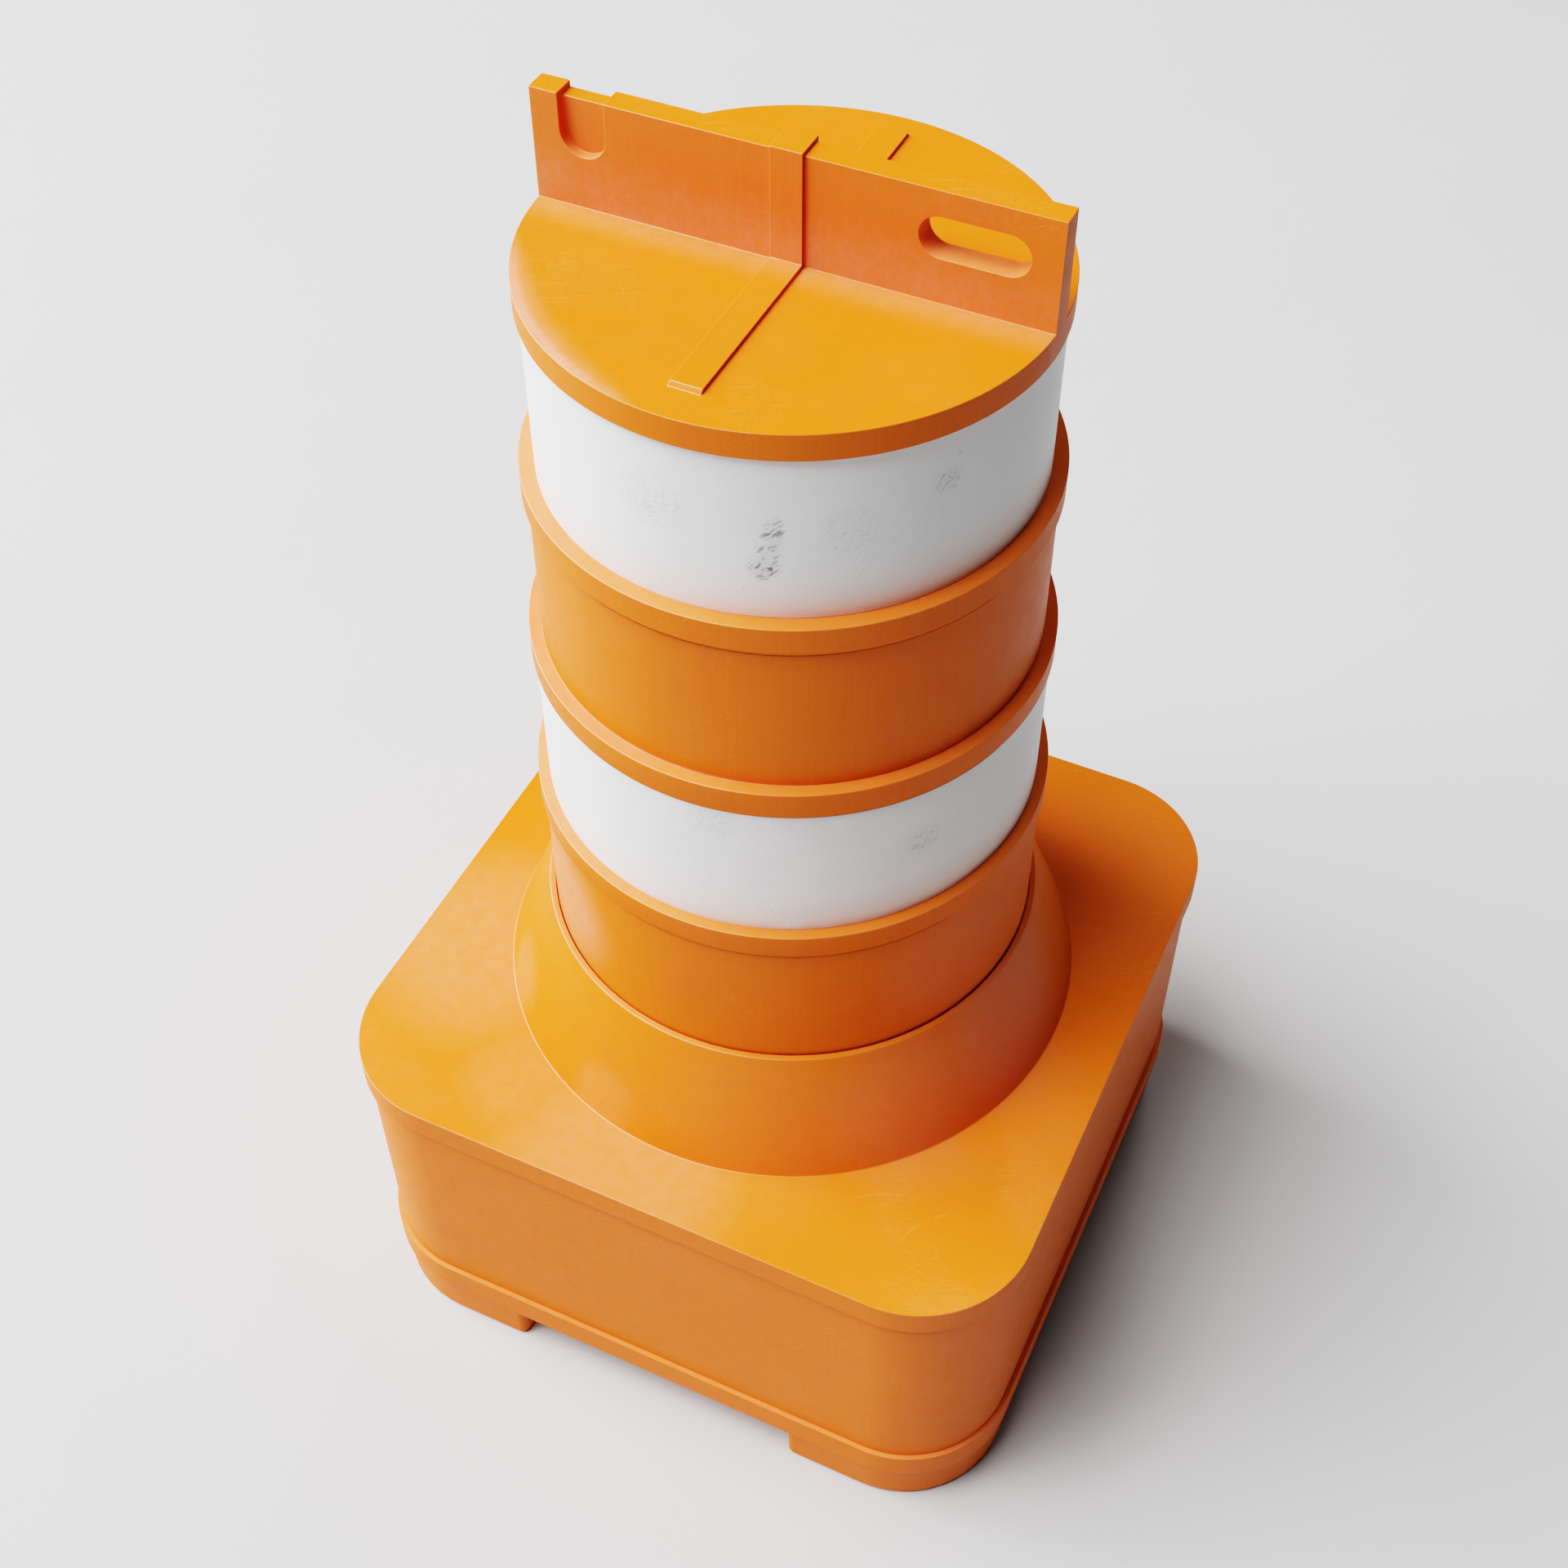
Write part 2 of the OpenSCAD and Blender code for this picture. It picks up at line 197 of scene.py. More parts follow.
def settle(obj):
    """Applies obj's modifiers to its mesh."""
    graph = bpy.context.evaluated_depsgraph_get()
    mesh = bpy.data.meshes.new_from_object(obj.evaluated_get(graph))
    obj.modifiers.clear()
    obj.data = mesh


def combine(obj, operation, tools):
    """Adds solids to obj, or cuts them out of it, and removes them."""
    for tool in tools:
        cut = obj.modifiers.new("combine", "BOOLEAN")
        cut.operation = operation
        cut.solver = "EXACT"
        cut.object = tool
        settle(obj)
        bpy.data.objects.remove(tool)


def soften(obj, width, flatten=False, angle=50, segments=3):
    """Adds modifiers that round obj's edges. The rounded faces take the second material, the one for edges.

    flatten first joins the triangles of each flat face, which boolean cuts and CAD meshes leave.
    """
    if flatten:
        joined = obj.modifiers.new("flatten", "DECIMATE")
        joined.decimate_type = "DISSOLVE"
        joined.angle_limit = math.radians(0.3)
    bevel = obj.modifiers.new("edges", "BEVEL")
    bevel.width = width
    bevel.segments = segments
    bevel.limit_method = "ANGLE"
    bevel.angle_limit = math.radians(angle)
    bevel.miter_outer = "MITER_ARC"
    bevel.material = 1


def shade(obj):
    """Smooth shading that follows the large faces and breaks at the edges that stay sharp."""
    for face in obj.data.polygons:
        face.use_smooth = True
    obj.data.set_sharp_from_angle(angle=math.radians(35))
    normals = obj.modifiers.new("normals", "WEIGHTED_NORMAL")
    normals.keep_sharp = True
    normals.weight = 80


def paint(obj, material, worn):
    """Gives obj its face material and its edge material."""
    obj.data.materials.clear()
    obj.data.materials.append(material)
    obj.data.materials.append(worn)


def place(obj, body, node):
    """Makes obj the visible piece for this CAD node."""
    shade(obj)
    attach(obj, body)
    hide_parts(node)


# ------------------------------------------------------------------------------------------
# Materials
# ------------------------------------------------------------------------------------------
class Nodes:
    """A material's node tree, with short ways to add and join its nodes."""

    def __init__(self, name):
        self.material = bpy.data.materials.new(name)
        self.material.use_nodes = True
        self.tree = self.material.node_tree
        self.tree.nodes.clear()
        self.shader = self.add("ShaderNodeBsdfPrincipled")
        output = self.add("ShaderNodeOutputMaterial")
        self.join(self.shader.outputs["BSDF"], output.inputs["Surface"])
        self.place = self.add("ShaderNodeTexCoord").outputs["Object"]
        self.normal = self.add("ShaderNodeNewGeometry").outputs["Normal"]

    def add(self, kind, **settings):
        node = self.tree.nodes.new(kind)
        for key, value in settings.items():
            setattr(node, key, value)
        return node

    def join(self, output, socket):
        self.tree.links.new(output, socket)

    def feed(self, socket, value):
        """Links value if it is an output, and sets it if it is a plain value."""
        if isinstance(value, bpy.types.NodeSocket):
            self.join(value, socket)
        else:
            socket.default_value = value

    def math(self, operation, a, b=0.0, clamp=False):
        node = self.add("ShaderNodeMath", operation=operation, use_clamp=clamp)
        self.feed(node.inputs[0], a)
        self.feed(node.inputs[1], b)
        return node.outputs[0]

    def times(self, *values):
        product = values[0]
        for value in values[1:]:
            product = self.math("MULTIPLY", product, value)
        return product

    def largest(self, *values):
        most = values[0]
        for value in values[1:]:
            most = self.math("MAXIMUM", most, value)
        return most

    def noise(self, scale, detail=4.0, roughness=0.55, vector=None):
        node = self.add("ShaderNodeTexNoise")
        self.join(vector or self.place, node.inputs["Vector"])
        node.inputs["Scale"].default_value = scale
        node.inputs["Detail"].default_value = detail
        node.inputs["Roughness"].default_value = roughness
        return node.outputs["Fac"]

    def ramp(self, value, low_end, high_end, to_low=0.0, to_high=1.0):
        """value mapped from one range to another, eased and clamped."""
        node = self.add("ShaderNodeMapRange", interpolation_type="SMOOTHSTEP")
        self.feed(node.inputs["Value"], value)
        node.inputs["From Min"].default_value = low_end
        node.inputs["From Max"].default_value = high_end
        node.inputs["To Min"].default_value = to_low
        node.inputs["To Max"].default_value = to_high
        return node.outputs["Result"]

    def clouds(self, scale, low_end, high_end, detail=5.0):
        """Soft patches of noise."""
        return self.ramp(self.noise(scale, detail, 0.6), low_end, high_end)

    def mix(self, amount, a, b):
        node = self.add("ShaderNodeMix", data_type="RGBA")
        self.feed(node.inputs["Factor"], amount)
        self.feed(node.inputs["A"], a)
        self.feed(node.inputs["B"], b)
        return node.outputs["Result"]

    def axis(self, name, vector=None):
        """One coordinate of a vector, or of the place on the piece."""
        node = self.add("ShaderNodeSeparateXYZ")
        self.join(vector or self.place, node.inputs[0])
        return node.outputs[name]

    def radius(self):
        """The distance from the drum's axis."""
        level = self.add("ShaderNodeVectorMath", operation="MULTIPLY")
        self.join(self.place, level.inputs[0])
        level.inputs[1].default_value = (1, 1, 0)
        length = self.add("ShaderNodeVectorMath", operation="LENGTH")
        self.join(level.outputs["Vector"], length.inputs[0])
        return length.outputs["Value"]

    def along(self, direction):
        """How far the place on the piece lies along a direction."""
        node = self.add("ShaderNodeVectorMath", operation="DOT_PRODUCT")
        self.join(self.place, node.inputs[0])
        node.inputs[1].default_value = direction
        return node.outputs["Value"]

    def near(self, centre, reach):
        """1 at a point of the piece, falling to 0 at the reach from it."""
        node = self.add("ShaderNodeVectorMath", operation="DISTANCE")
        self.join(self.place, node.inputs[0])
        node.inputs[1].default_value = centre
        return self.ramp(node.outputs["Value"], 0.35 * reach, reach, 1.0, 0.0)

    def bent(self, scale, amount):
        """The place on the piece, moved about by a slow noise, which curves whatever is drawn from it."""
        wander = self.add("ShaderNodeTexNoise")
        self.join(self.place, wander.inputs["Vector"])
        wander.inputs["Scale"].default_value = scale
        wander.inputs["Detail"].default_value = 1.0
        moved = self.add("ShaderNodeVectorMath", operation="MULTIPLY_ADD")
        self.join(wander.outputs["Color"], moved.inputs[0])
        moved.inputs[1].default_value = (amount, amount, amount)
        self.join(self.place, moved.inputs[2])
        return moved.outputs["Vector"]

    def stretched(self, size, tilt, vector=None):
        """Coordinates in which one unit has this size, along axes turned by tilt in degrees."""
        node = self.add("ShaderNodeMapping", vector_type="TEXTURE")
        self.join(vector or self.place, node.inputs["Vector"])
        node.inputs["Rotation"].default_value = [math.radians(a) for a in tilt]
        node.inputs["Scale"].default_value = size
        return node.outputs["Vector"]

    def scratches(self, length, width, tilt, rarity):
        """Fine curved streaks along the tilted X axis, kept to a few patches."""
        vector = self.stretched((length, width, width), tilt, self.bent(6.0, 0.03))
        streaks = self.noise(1.0, 1.0, 0.5, vector)
        gate = self.ramp(self.noise(13.0, 2.0), rarity, rarity + 0.1)
        return self.times(self.ramp(streaks, 0.64, 0.74), gate)

    def smear(self, tilt):
        """Short broken dabs along the tilted X axis."""
        vector = self.stretched((9 * MM, 1.7 * MM, 1.7 * MM), tilt, self.bent(45.0, 0.012))
        return self.ramp(self.noise(1.0, 3.0, 0.6, vector), 0.53, 0.6)

    def rub(self, centre, r, width):
        """A faint arc, part of a circle round a centre, broken up by noise."""
        node = self.add("ShaderNodeVectorMath", operation="DISTANCE")
        self.join(self.bent(20.0, 0.008), node.inputs[0])
        node.inputs[1].default_value = centre
        off = self.math("ABSOLUTE", self.math("SUBTRACT", node.outputs["Value"], r))
        return self.times(self.ramp(off, 0.2 * width, width, 1.0, 0.0), self.clouds(55.0, 0.4, 0.6))

    def bump(self, height, strength, distance, normal=None):
        node = self.add("ShaderNodeBump")
        self.join(height, node.inputs["Height"])
        node.inputs["Strength"].default_value = strength
        node.inputs["Distance"].default_value = distance
        if normal is not None:
            self.join(normal, node.inputs["Normal"])
        return node.outputs["Normal"]


def colour(r, g, b):
    return (r, g, b, 1.0)


ORANGE = colour(0.71, 0.132, 0.008)
ORANGE_LIGHT = colour(0.8, 0.19, 0.012)
ORANGE_DEEP = colour(0.62, 0.095, 0.025)
ORANGE_HAZE_AND_HIGHLIGHT = colour(0.92, 0.3, 0.2)
ORANGE_WEAR_AND_HIGHLIGHT = colour(0.95, 0.42, 0.2)
ORANGE_CHALK = colour(0.7, 0.22, 0.13)
ORANGE_PAINTED_SHADE = colour(0.22, 0.022, 0.006)
WHITE = colour(0.8, 0.8, 0.8)
WHITE_PAINTED_BOUNCE = colour(0.85, 0.55, 0.44)
WHITE_SMUDGE = colour(0.3, 0.3, 0.31)
WHITE_SCRAPE = colour(0.13, 0.13, 0.14)
WHITE_WORN = colour(0.88, 0.86, 0.84)
BLACK = colour(0.02, 0.02, 0.021)
DUST = colour(0.16, 0.15, 0.14)
ZINC = colour(0.62, 0.63, 0.64)
ZINC_STAIN = colour(0.4, 0.39, 0.36)


def moulded_plastic(name, haze, edge=0.0, dust=None, chalk=None, grime=None, rubs=None):
    """Weathered orange plastic with a haze of bleaching, reddish smudges, scuffs and a fine grain, and with
    painted light where its masks give it.

    haze is the strength of the bleaching on faces that look up, and edge that of the paler rounded edges,
    partly worn and partly a painted highlight.
    The masks for dust (some also with painted highlights), chalk and rubs each add nodes for where more of it
    shows, and the mask for painted shade adds nodes for where the plastic is painted darker.
    """
    n = Nodes(name)
    up = n.ramp(n.axis("Z", n.normal), 0.3, 0.9)
    mottle = n.clouds(90.0, 0.25, 0.75, 6.0)
    uneven = n.ramp(mottle, 0.0, 1.0, 0.72, 1.0)
    haze_and_highlight = n.times(n.clouds(6.0, 0.45, 0.7), uneven, n.ramp(up, 0.0, 1.0, 0.3 * haze, haze))
    if dust:
        # Some dust masks also hold painted highlights: on the cap's rim, the base's lip and the lower orange
        # film.
        haze_and_highlight = n.largest(haze_and_highlight, n.times(dust(n), uneven))
    smudges = n.times(n.clouds(17.0, 0.5, 0.75), n.ramp(up, 0.0, 1.0, 0.25, 0.1))
    level, front, side = (0, 0, 24), (0, -30, 0), (0, 20, 75)
    scuffs = n.largest(*[n.scratches(45 * MM, 0.8 * MM, tilt, 0.52) for tilt in (level, front, side)])
    scuffs = n.times(scuffs, 0.16)
    if rubs:
        scuffs = n.largest(scuffs, n.times(rubs(n), 0.11))
    grain = n.noise(620.0, 3.0, 0.7)
    drawn = n.noise(1.0, 3.0, 0.6, n.stretched((2 * MM, 2 * MM, 90 * MM), (0, 0, 0)))
    body = n.mix(smudges, ORANGE, ORANGE_DEEP)
    body = n.mix(n.ramp(grain, 0.3, 0.75, 0.0, 0.12), body, ORANGE_LIGHT)
    body = n.mix(n.ramp(drawn, 0.4, 0.7, 0.0, 0.14), body, ORANGE_LIGHT)
    if chalk:
        body = n.mix(n.times(chalk(n), uneven), body, ORANGE_CHALK)
    body = n.mix(haze_and_highlight, body, ORANGE_HAZE_AND_HIGHLIGHT)
    # Painted shade: darker where the mask says shade falls, under the slab's rim and along the strap's shaded
    # side.
    if grime:
        body = n.mix(grime(n), body, ORANGE_PAINTED_SHADE)
    body = n.mix(scuffs, body, ORANGE_WEAR_AND_HIGHLIGHT)
    if edge:
        # The edges are paler with wear and with a painted highlight: more on edges that face up, and fading
        # towards the right, away from the light.
        edge_wear_and_highlight = n.ramp(n.noise(34.0, 5.0, 0.7), 0.3, 0.62, 0.5 * edge, edge)
        upper = n.ramp(n.axis("Z", n.normal), -0.05, 0.35, 0.1, 1.0)
        body = n.mix(n.times(edge_wear_and_highlight, upper, n.ramp(n.axis("X"), -0.12, 0.12, 1.0, 0.1)), body, ORANGE_WEAR_AND_HIGHLIGHT)
    n.feed(n.shader.inputs["Base Color"], body)
    smoothest, roughest = (0.28, 0.34) if edge else (0.44, 0.52)
    satin = n.ramp(mottle, 0.0, 1.0, smoothest, roughest)
    n.feed(n.shader.inputs["Roughness"], n.math("ADD", satin, n.times(haze_and_highlight, 0.3)))
    n.shader.inputs["IOR"].default_value = 1.46
    n.shader.inputs["Specular IOR Level"].default_value = 0.4 if edge else 0.14
    fine = n.bump(grain, 0.16, 0.12 * MM)
    broad = n.bump(n.noise(48.0, 3.0, 0.5), 0.12, 0.7 * MM, fine)
    n.feed(n.shader.inputs["Normal"], n.bump(scuffs, 0.5, 0.2 * MM, broad))
    return n.material


# Scrapes on the white film: band, azimuth in degrees, share of the band's height, reach and strength.
# They are rounded from places first measured on the photo.
SCRAPES = [
    (UPPER_WHITE, 21, 0.6, 9 * MM, 0.5),
    (UPPER_WHITE, 21, 0.53, 11 * MM, 0.8),
    (UPPER_WHITE, 20, 0.43, 11 * MM, 0.7),
    (UPPER_WHITE, 19, 0.33, 14 * MM, 0.95),
    (UPPER_WHITE, -4, 0.6, 30 * MM, 0.25),
    (UPPER_WHITE, 36, 0.55, 26 * MM, 0.18),
    (UPPER_WHITE, 57, 0.7, 14 * MM, 0.45),
    (LOWER_WHITE, 54, 0.6, 20 * MM, 0.3),
    (LOWER_WHITE, 8, 0.9, 24 * MM, 0.22),
]


def sheeting(name, edge=0.0):
    """Wrapped white retroreflective film with scrapes, grey smudges, a faint grain of beads and painted
    orange bounce light low down.
    """
    n = Nodes(name)
    grain = n.noise(900.0, 2.0, 0.6)
    dabs = n.smear((0, -40, 20))
    veils = n.times(n.clouds(8.0, 0.5, 0.8), 0.08)
    steep = n.scratches(18 * MM, 0.6 * MM, (0, -66, 20), 0.5)
    shallow = n.scratches(26 * MM, 0.6 * MM, (0, -8, 35), 0.52)
    specks = n.times(n.ramp(n.noise(330.0, 0.0), 0.83, 0.87), n.ramp(n.noise(19.0), 0.5, 0.6))
    dirt = n.largest(veils, n.times(n.largest(steep, shallow), 0.32))
    scrapes = n.times(specks, 0.5)
    for sheet, azimuth, share, reach, strength in SCRAPES:
        here = n.near(on_band(sheet, azimuth, share), reach)
        dirt = n.largest(dirt, n.times(here, 0.25 * strength))
        scrapes = n.largest(scrapes, n.times(here, dabs, strength))
    body = n.mix(n.ramp(grain, 0.4, 0.8, 0.0, 0.04), WHITE, WHITE_SMUDGE)
    # Painted orange bounce light low on the film.
    body = n.mix(painted_bounce(n), body, WHITE_PAINTED_BOUNCE)
    body = n.mix(dirt, body, WHITE_SMUDGE)
    body = n.mix(scrapes, body, WHITE_SCRAPE)
    if edge:
        body = n.mix(edge, body, WHITE_WORN)
    n.feed(n.shader.inputs["Base Color"], body)
    n.feed(n.shader.inputs["Roughness"], n.ramp(dirt, 0.0, 0.5, 0.42, 0.6))
    n.shader.inputs["IOR"].default_value = 1.48
    n.shader.inputs["Specular IOR Level"].default_value = 0.25
    broad = n.bump(n.noise(30.0, 3.0), 0.08, 0.5 * MM)
    n.feed(n.shader.inputs["Normal"], n.bump(grain, 0.1, 0.06 * MM, broad))
    return n.material


def rubber(name, edge=0.0):
    """Recycled rubber: dark, matt and pebbled, with dust in its grain."""
    n = Nodes(name)
    crumbs = n.add("ShaderNodeTexVoronoi", feature="F1")
    n.join(n.place, crumbs.inputs["Vector"])
    crumbs.inputs["Scale"].default_value = 260.0
    veil = n.clouds(9.0, 0.35, 0.75)
    body = n.mix(n.times(veil, 0.4), BLACK, DUST)
    body = n.mix(n.ramp(crumbs.outputs["Distance"], 0.2, 0.7, 0.0, 0.3), body, DUST)
    if edge:
        body = n.mix(edge, body, DUST)
    n.feed(n.shader.inputs["Base Color"], body)
    n.feed(n.shader.inputs["Roughness"], n.ramp(veil, 0.0, 1.0, 0.78, 0.92))
    n.feed(n.shader.inputs["Normal"], n.bump(crumbs.outputs["Distance"], 0.45, 0.5 * MM))
    return n.material


def plated_steel(name):
    """Zinc-plated steel with a brushed grain and faint staining."""
    n = Nodes(name)
    brushed = n.noise(1.0, 4.0, 0.6, n.stretched((2.4 * MM, 2.4 * MM, 30 * MM), (0, 0, 0)))
    stains = n.clouds(60.0, 0.4, 0.75)
    body = n.mix(n.times(stains, 0.45), ZINC, ZINC_STAIN)
    n.feed(n.shader.inputs["Base Color"], n.mix(n.times(brushed, 0.2), body, ZINC_STAIN))
    n.shader.inputs["Metallic"].default_value = 1.0
    n.feed(n.shader.inputs["Roughness"], n.ramp(brushed, 0.3, 0.8, 0.3, 0.5))
    n.feed(n.shader.inputs["Normal"], n.bump(brushed, 0.2, 0.1 * MM))
    return n.material


def orange_pair(name, haze, edge, **masks):
    """A moulded plastic for a piece's faces and, for the piece's edges, a paler form that is partly worn and
    partly a painted highlight.
    """
    faces = moulded_plastic(name, haze, **masks)
    return faces, moulded_plastic(name + "_edge", haze, edge, **masks)


def sunny(n, start, end):
    """1 at the left, falling to 0 towards the right between two places along X."""
    return n.ramp(n.axis("X"), start, end, 1.0, 0.0)


def facing(azimuth):
    """The level direction to a side of the object. Azimuth 0 is the front and 90 the right."""
    turn = math.radians(azimuth)
    return Vector((math.sin(turn), -math.cos(turn), 0))


def on_band(sheet, azimuth, share):
    """A place on a band of film, at a share of its height."""
    foot, top = low(sheet).z, high(sheet).z
    z = foot + share * (top - foot)
    return facing(azimuth) * high(sheet).x + Vector((0, 0, z))


def on_cone(azimuth, share):
    """A place on the base's cone, at a share of the way up from its foot to the lip."""
    lip_r, lip_z, foot_r, top = cone_sizes()
    r = foot_r + share * (lip_r - foot_r)
    return facing(azimuth) * r + Vector((0, 0, top + share * (lip_z - top)))


def on_slab(x_share, y_share):
    """A place on the base's top, at shares of its half width."""
    half = high("base_cover").x
    return Vector((x_share * half, y_share * half, cone_sizes()[3]))


def upward(n):
    return n.ramp(n.axis("Z", n.normal), 0.3, 0.9)


# How far below the top of the fin the disc's dust, painted highlight and bloom begin and are full
DISC_FADE_START, DISC_FADE_END = 60 * MM, 75 * MM


def on_disc(n):
    """1 on the cap's disc, falling to 0 a little way up the fin."""
    crown = high("top_cap").z
    return n.ramp(n.axis("Z"), crown - DISC_FADE_START, crown - DISC_FADE_END)


def cap_dust_and_highlight(n):
    """A pale patch on the front left of the disc's rim, partly dust and partly a painted highlight, and dust
    in the hand slot.
    """
    disc_r, crown = high("top_cap").x, high("top_cap").z
    below = on_disc(n)
    broad = n.ramp(n.radius(), disc_r - 26 * MM, disc_r, 0.0, 0.5)
    narrow = n.ramp(n.radius(), disc_r - 13 * MM, disc_r - 3 * MM, 0.0, 0.8)
    side = n.ramp(n.along(facing(-40)), 0.8 * disc_r, 0.98 * disc_r)
    under_top = n.ramp(n.axis("Z"), crown - 22 * MM, crown - 28 * MM)
    over_foot = n.ramp(n.axis("Z"), crown - 60 * MM, crown - 54 * MM)
    # The pale patch at the rim's front left is partly dust and partly a painted highlight.
    rim = n.times(below, side, n.largest(broad, narrow))
    return n.times(upward(n), n.largest(rim, n.times(under_top, over_foot, 0.3)))


def cap_chalk(n):
    """A dull bloom along the foot of the fin and on its faces, stronger low down and on the left."""
    crown = high("top_cap").z
    off_fin = n.math("ABSOLUTE", n.axis("Y"))
    fine = n.ramp(n.clouds(210.0, 0.3, 0.7, 5.0), 0.0, 1.0, 0.7, 1.0)
    upright = n.times(n.ramp(n.axis("Z", n.normal), 0.5, 0.1), n.ramp(off_fin, 16 * MM, 14 * MM))
    lower = n.ramp(n.axis("Z"), crown - 30 * MM, crown - 72 * MM, 0.2, 0.66)
    faces = n.times(upright, lower, n.ramp(n.axis("X"), 0.1, 0.18, 1.0, 0.65))
    disc = n.times(upward(n), on_disc(n))
    foot = n.times(disc, n.ramp(off_fin, 10 * MM, 40 * MM, 0.5, 0.0))
    return n.times(n.largest(faces, foot), fine)


def strap_grime(n):
    """Painted shade along the right side of the strap, on the faces turned away from the light."""
    right = n.ramp(n.axis("X", n.normal), 0.3, 0.8)
    off_side = n.math("ABSOLUTE", n.math("SUBTRACT", n.axis("X"), STRAP_HALF))
    return n.times(right, n.ramp(off_side, 1.5 * MM, 2.5 * MM, 0.7, 0.0))


def ledge_dust(n):
    """Dust on the rings' ledges, thicker towards the left."""
    return n.times(upward(n), n.ramp(n.axis("X"), -0.16, 0.1, 0.42, 0.12))


def tray_dust(n):
    """Dust all along the tray's ledge."""
    return n.times(upward(n), 0.24)


def base_dust_and_highlight(n):
    """Dust on the slab and in patches on the cone, and a pale line on the lip towards the left, partly dust
    and partly a painted highlight.
    """
    _, lip_z, _, _ = cone_sizes()
    left = n.times(n.near(on_slab(-0.8, -0.4), 0.14), 0.25)
    between = n.times(n.near(on_slab(-0.45, -0.75), 0.08), 0.15)
    front = n.times(n.near(on_slab(-0.1, -0.9), 0.14), 0.25)
    rear = n.times(n.near(on_slab(0.75, 0.6), 0.14), 0.08)
    slab = n.times(upward(n), n.largest(left, between, front, rear))
    foot_left = n.times(n.near(on_cone(-52, 0.2), 0.045), 0.2)
    foot_front = n.times(n.near(on_cone(-16, 0.15), 0.045), 0.16)
    middle = n.times(n.near(on_cone(18, 0.5), 0.11), 0.08)
    # A pale line on the lip, fading towards the right, away from the light: partly dust, partly a painted
    # highlight.
    at_lip = n.ramp(n.axis("Z"), lip_z - 4 * MM, lip_z - 1 * MM)
    lip = n.times(upward(n), at_lip, sunny(n, -0.1, 0.14), 0.24)
    return n.largest(slab, foot_left, foot_front, middle, lip)


def base_chalk(n):
    """A dull bloom on the right side of the cone."""
    right = n.times(n.near(on_cone(78, 0.6), 0.1), 0.45)
    return n.largest(right, n.times(n.near(on_cone(50, 0.45), 0.09), 0.3))


def rim_grime(n):
    """Painted shade under the slab's rim, darkest just below it."""
    rim = cone_sizes()[3] - RIM_H
    rising = n.ramp(n.axis("Z"), rim - 14 * MM, rim - 3 * MM)
    return n.times(rising, n.ramp(n.axis("Z"), rim + 1 * MM, rim - 1 * MM), 0.22)


def base_rubs(n):
    """Faint arcs on the front right of the slab and of the front wall."""
    half, top = high("base_cover").x, cone_sizes()[3]
    first = n.times(n.near(on_slab(0.6, -0.67), 0.045), n.rub(on_slab(0.71, -0.91), 0.08, 1.5 * MM))
    second = n.times(n.near(on_slab(0.72, -0.72), 0.04), n.rub(on_slab(0.96, -0.87), 0.085, 1.3 * MM))
    wall = Vector((0.5 * half, -half, 0.65 * top))
    wall_centre = wall + Vector((-0.06, 0, 0.035))
    third = n.times(n.near(wall, 0.035), n.rub(wall_centre, 0.07, 1.2 * MM))
    return n.largest(first, second, third)


def film_dust_and_highlight(n):
    """Dust in a line at the foot of the upper orange film, and a painted highlight in a patch on the left of
    the lower one.
    """
    foot = low(UPPER_ORANGE).z
    here = n.ramp(n.axis("Z"), foot - 1 * MM, foot)
    fading = n.ramp(n.axis("Z"), foot + 1.8 * MM, foot + 0.9 * MM, 0.0, 0.5)
    line = n.times(here, fading, sunny(n, -0.04, 0.12))
    # The patch on the left of the lower film is a painted highlight.
    return n.largest(line, n.times(n.near(on_band(LOWER_ORANGE, -40, 0.5), 0.08), 0.5))


def film_chalk(n):
    """A dull bloom on the right of the lower orange film."""
    return n.times(n.near(on_band(LOWER_ORANGE, 62, 0.55), 0.08), 0.25)


def painted_bounce(n):
    """Painted orange bounce light, in patches low on each white film and stronger towards the shaded right.
    """
    foot = 0.0
    for sheet in (UPPER_WHITE, LOWER_WHITE):
        z = low(sheet).z
        band = n.times(n.ramp(n.axis("Z"), z + 45 * MM, z), n.ramp(n.axis("Z"), z - 2 * MM, z - 1 * MM))
        foot = n.largest(foot, band)
    right = n.ramp(n.along(facing(60)), 0.06, 0.18, 0.2, 0.7)
    return n.times(foot, right, n.clouds(14.0, 0.25, 0.5))



# ------------------------------------------------------------------------------------------
# The drum: shell, sheeting and cap
# ------------------------------------------------------------------------------------------
WALL = 4 * MM
RING_SLOPE = 6 * MM
RING_H = 20 * MM
LEAN_SHARE = 0.93  # how far the film's top edge fills the wedge under the ring's slope
DRUM_SCREWS = 6
DRUM_SCREW_CIRCLE = 150 * MM
SCREW_HOLE = 2.7 * MM
PILOT_HOLE = 2.4 * MM
NECK_BORE = 138 * MM
KEY_SLOT_HALF = 7 * MM
KEY_SLOT_TOP = 23 * MM
LAP = 24 * MM  # how far the film's end lies over its start
LAP_SEAM = math.radians(104)  # where the film starts, counted from +X towards the rear
THIN_SHARE = 0.3  # how much thinner the film is away from its lap


def skin_radius(sheet):
    return min(radius(p) for p in cad_points(sheet))


def shell_side(inward):
    """Half of the shell's profile from the neck down to the foot, moved inward."""
    points = [(skin_radius(SHEETS[0]) - inward, high("drum_shell").z)]
    for above, below in zip(SHEETS, SHEETS[1:]):
        ring, under, ledge = widest("drum_shell", high(below).z, low(above).z)
        points += [
            (skin_radius(above) - inward, ledge - inward),
            (ring - inward, ledge - inward),
            (ring - inward, under),
            (skin_radius(below) - inward, under - RING_SLOPE),
        ]
    points.append((skin_radius(SHEETS[-1]) - inward, low("drum_shell").z))
    return points


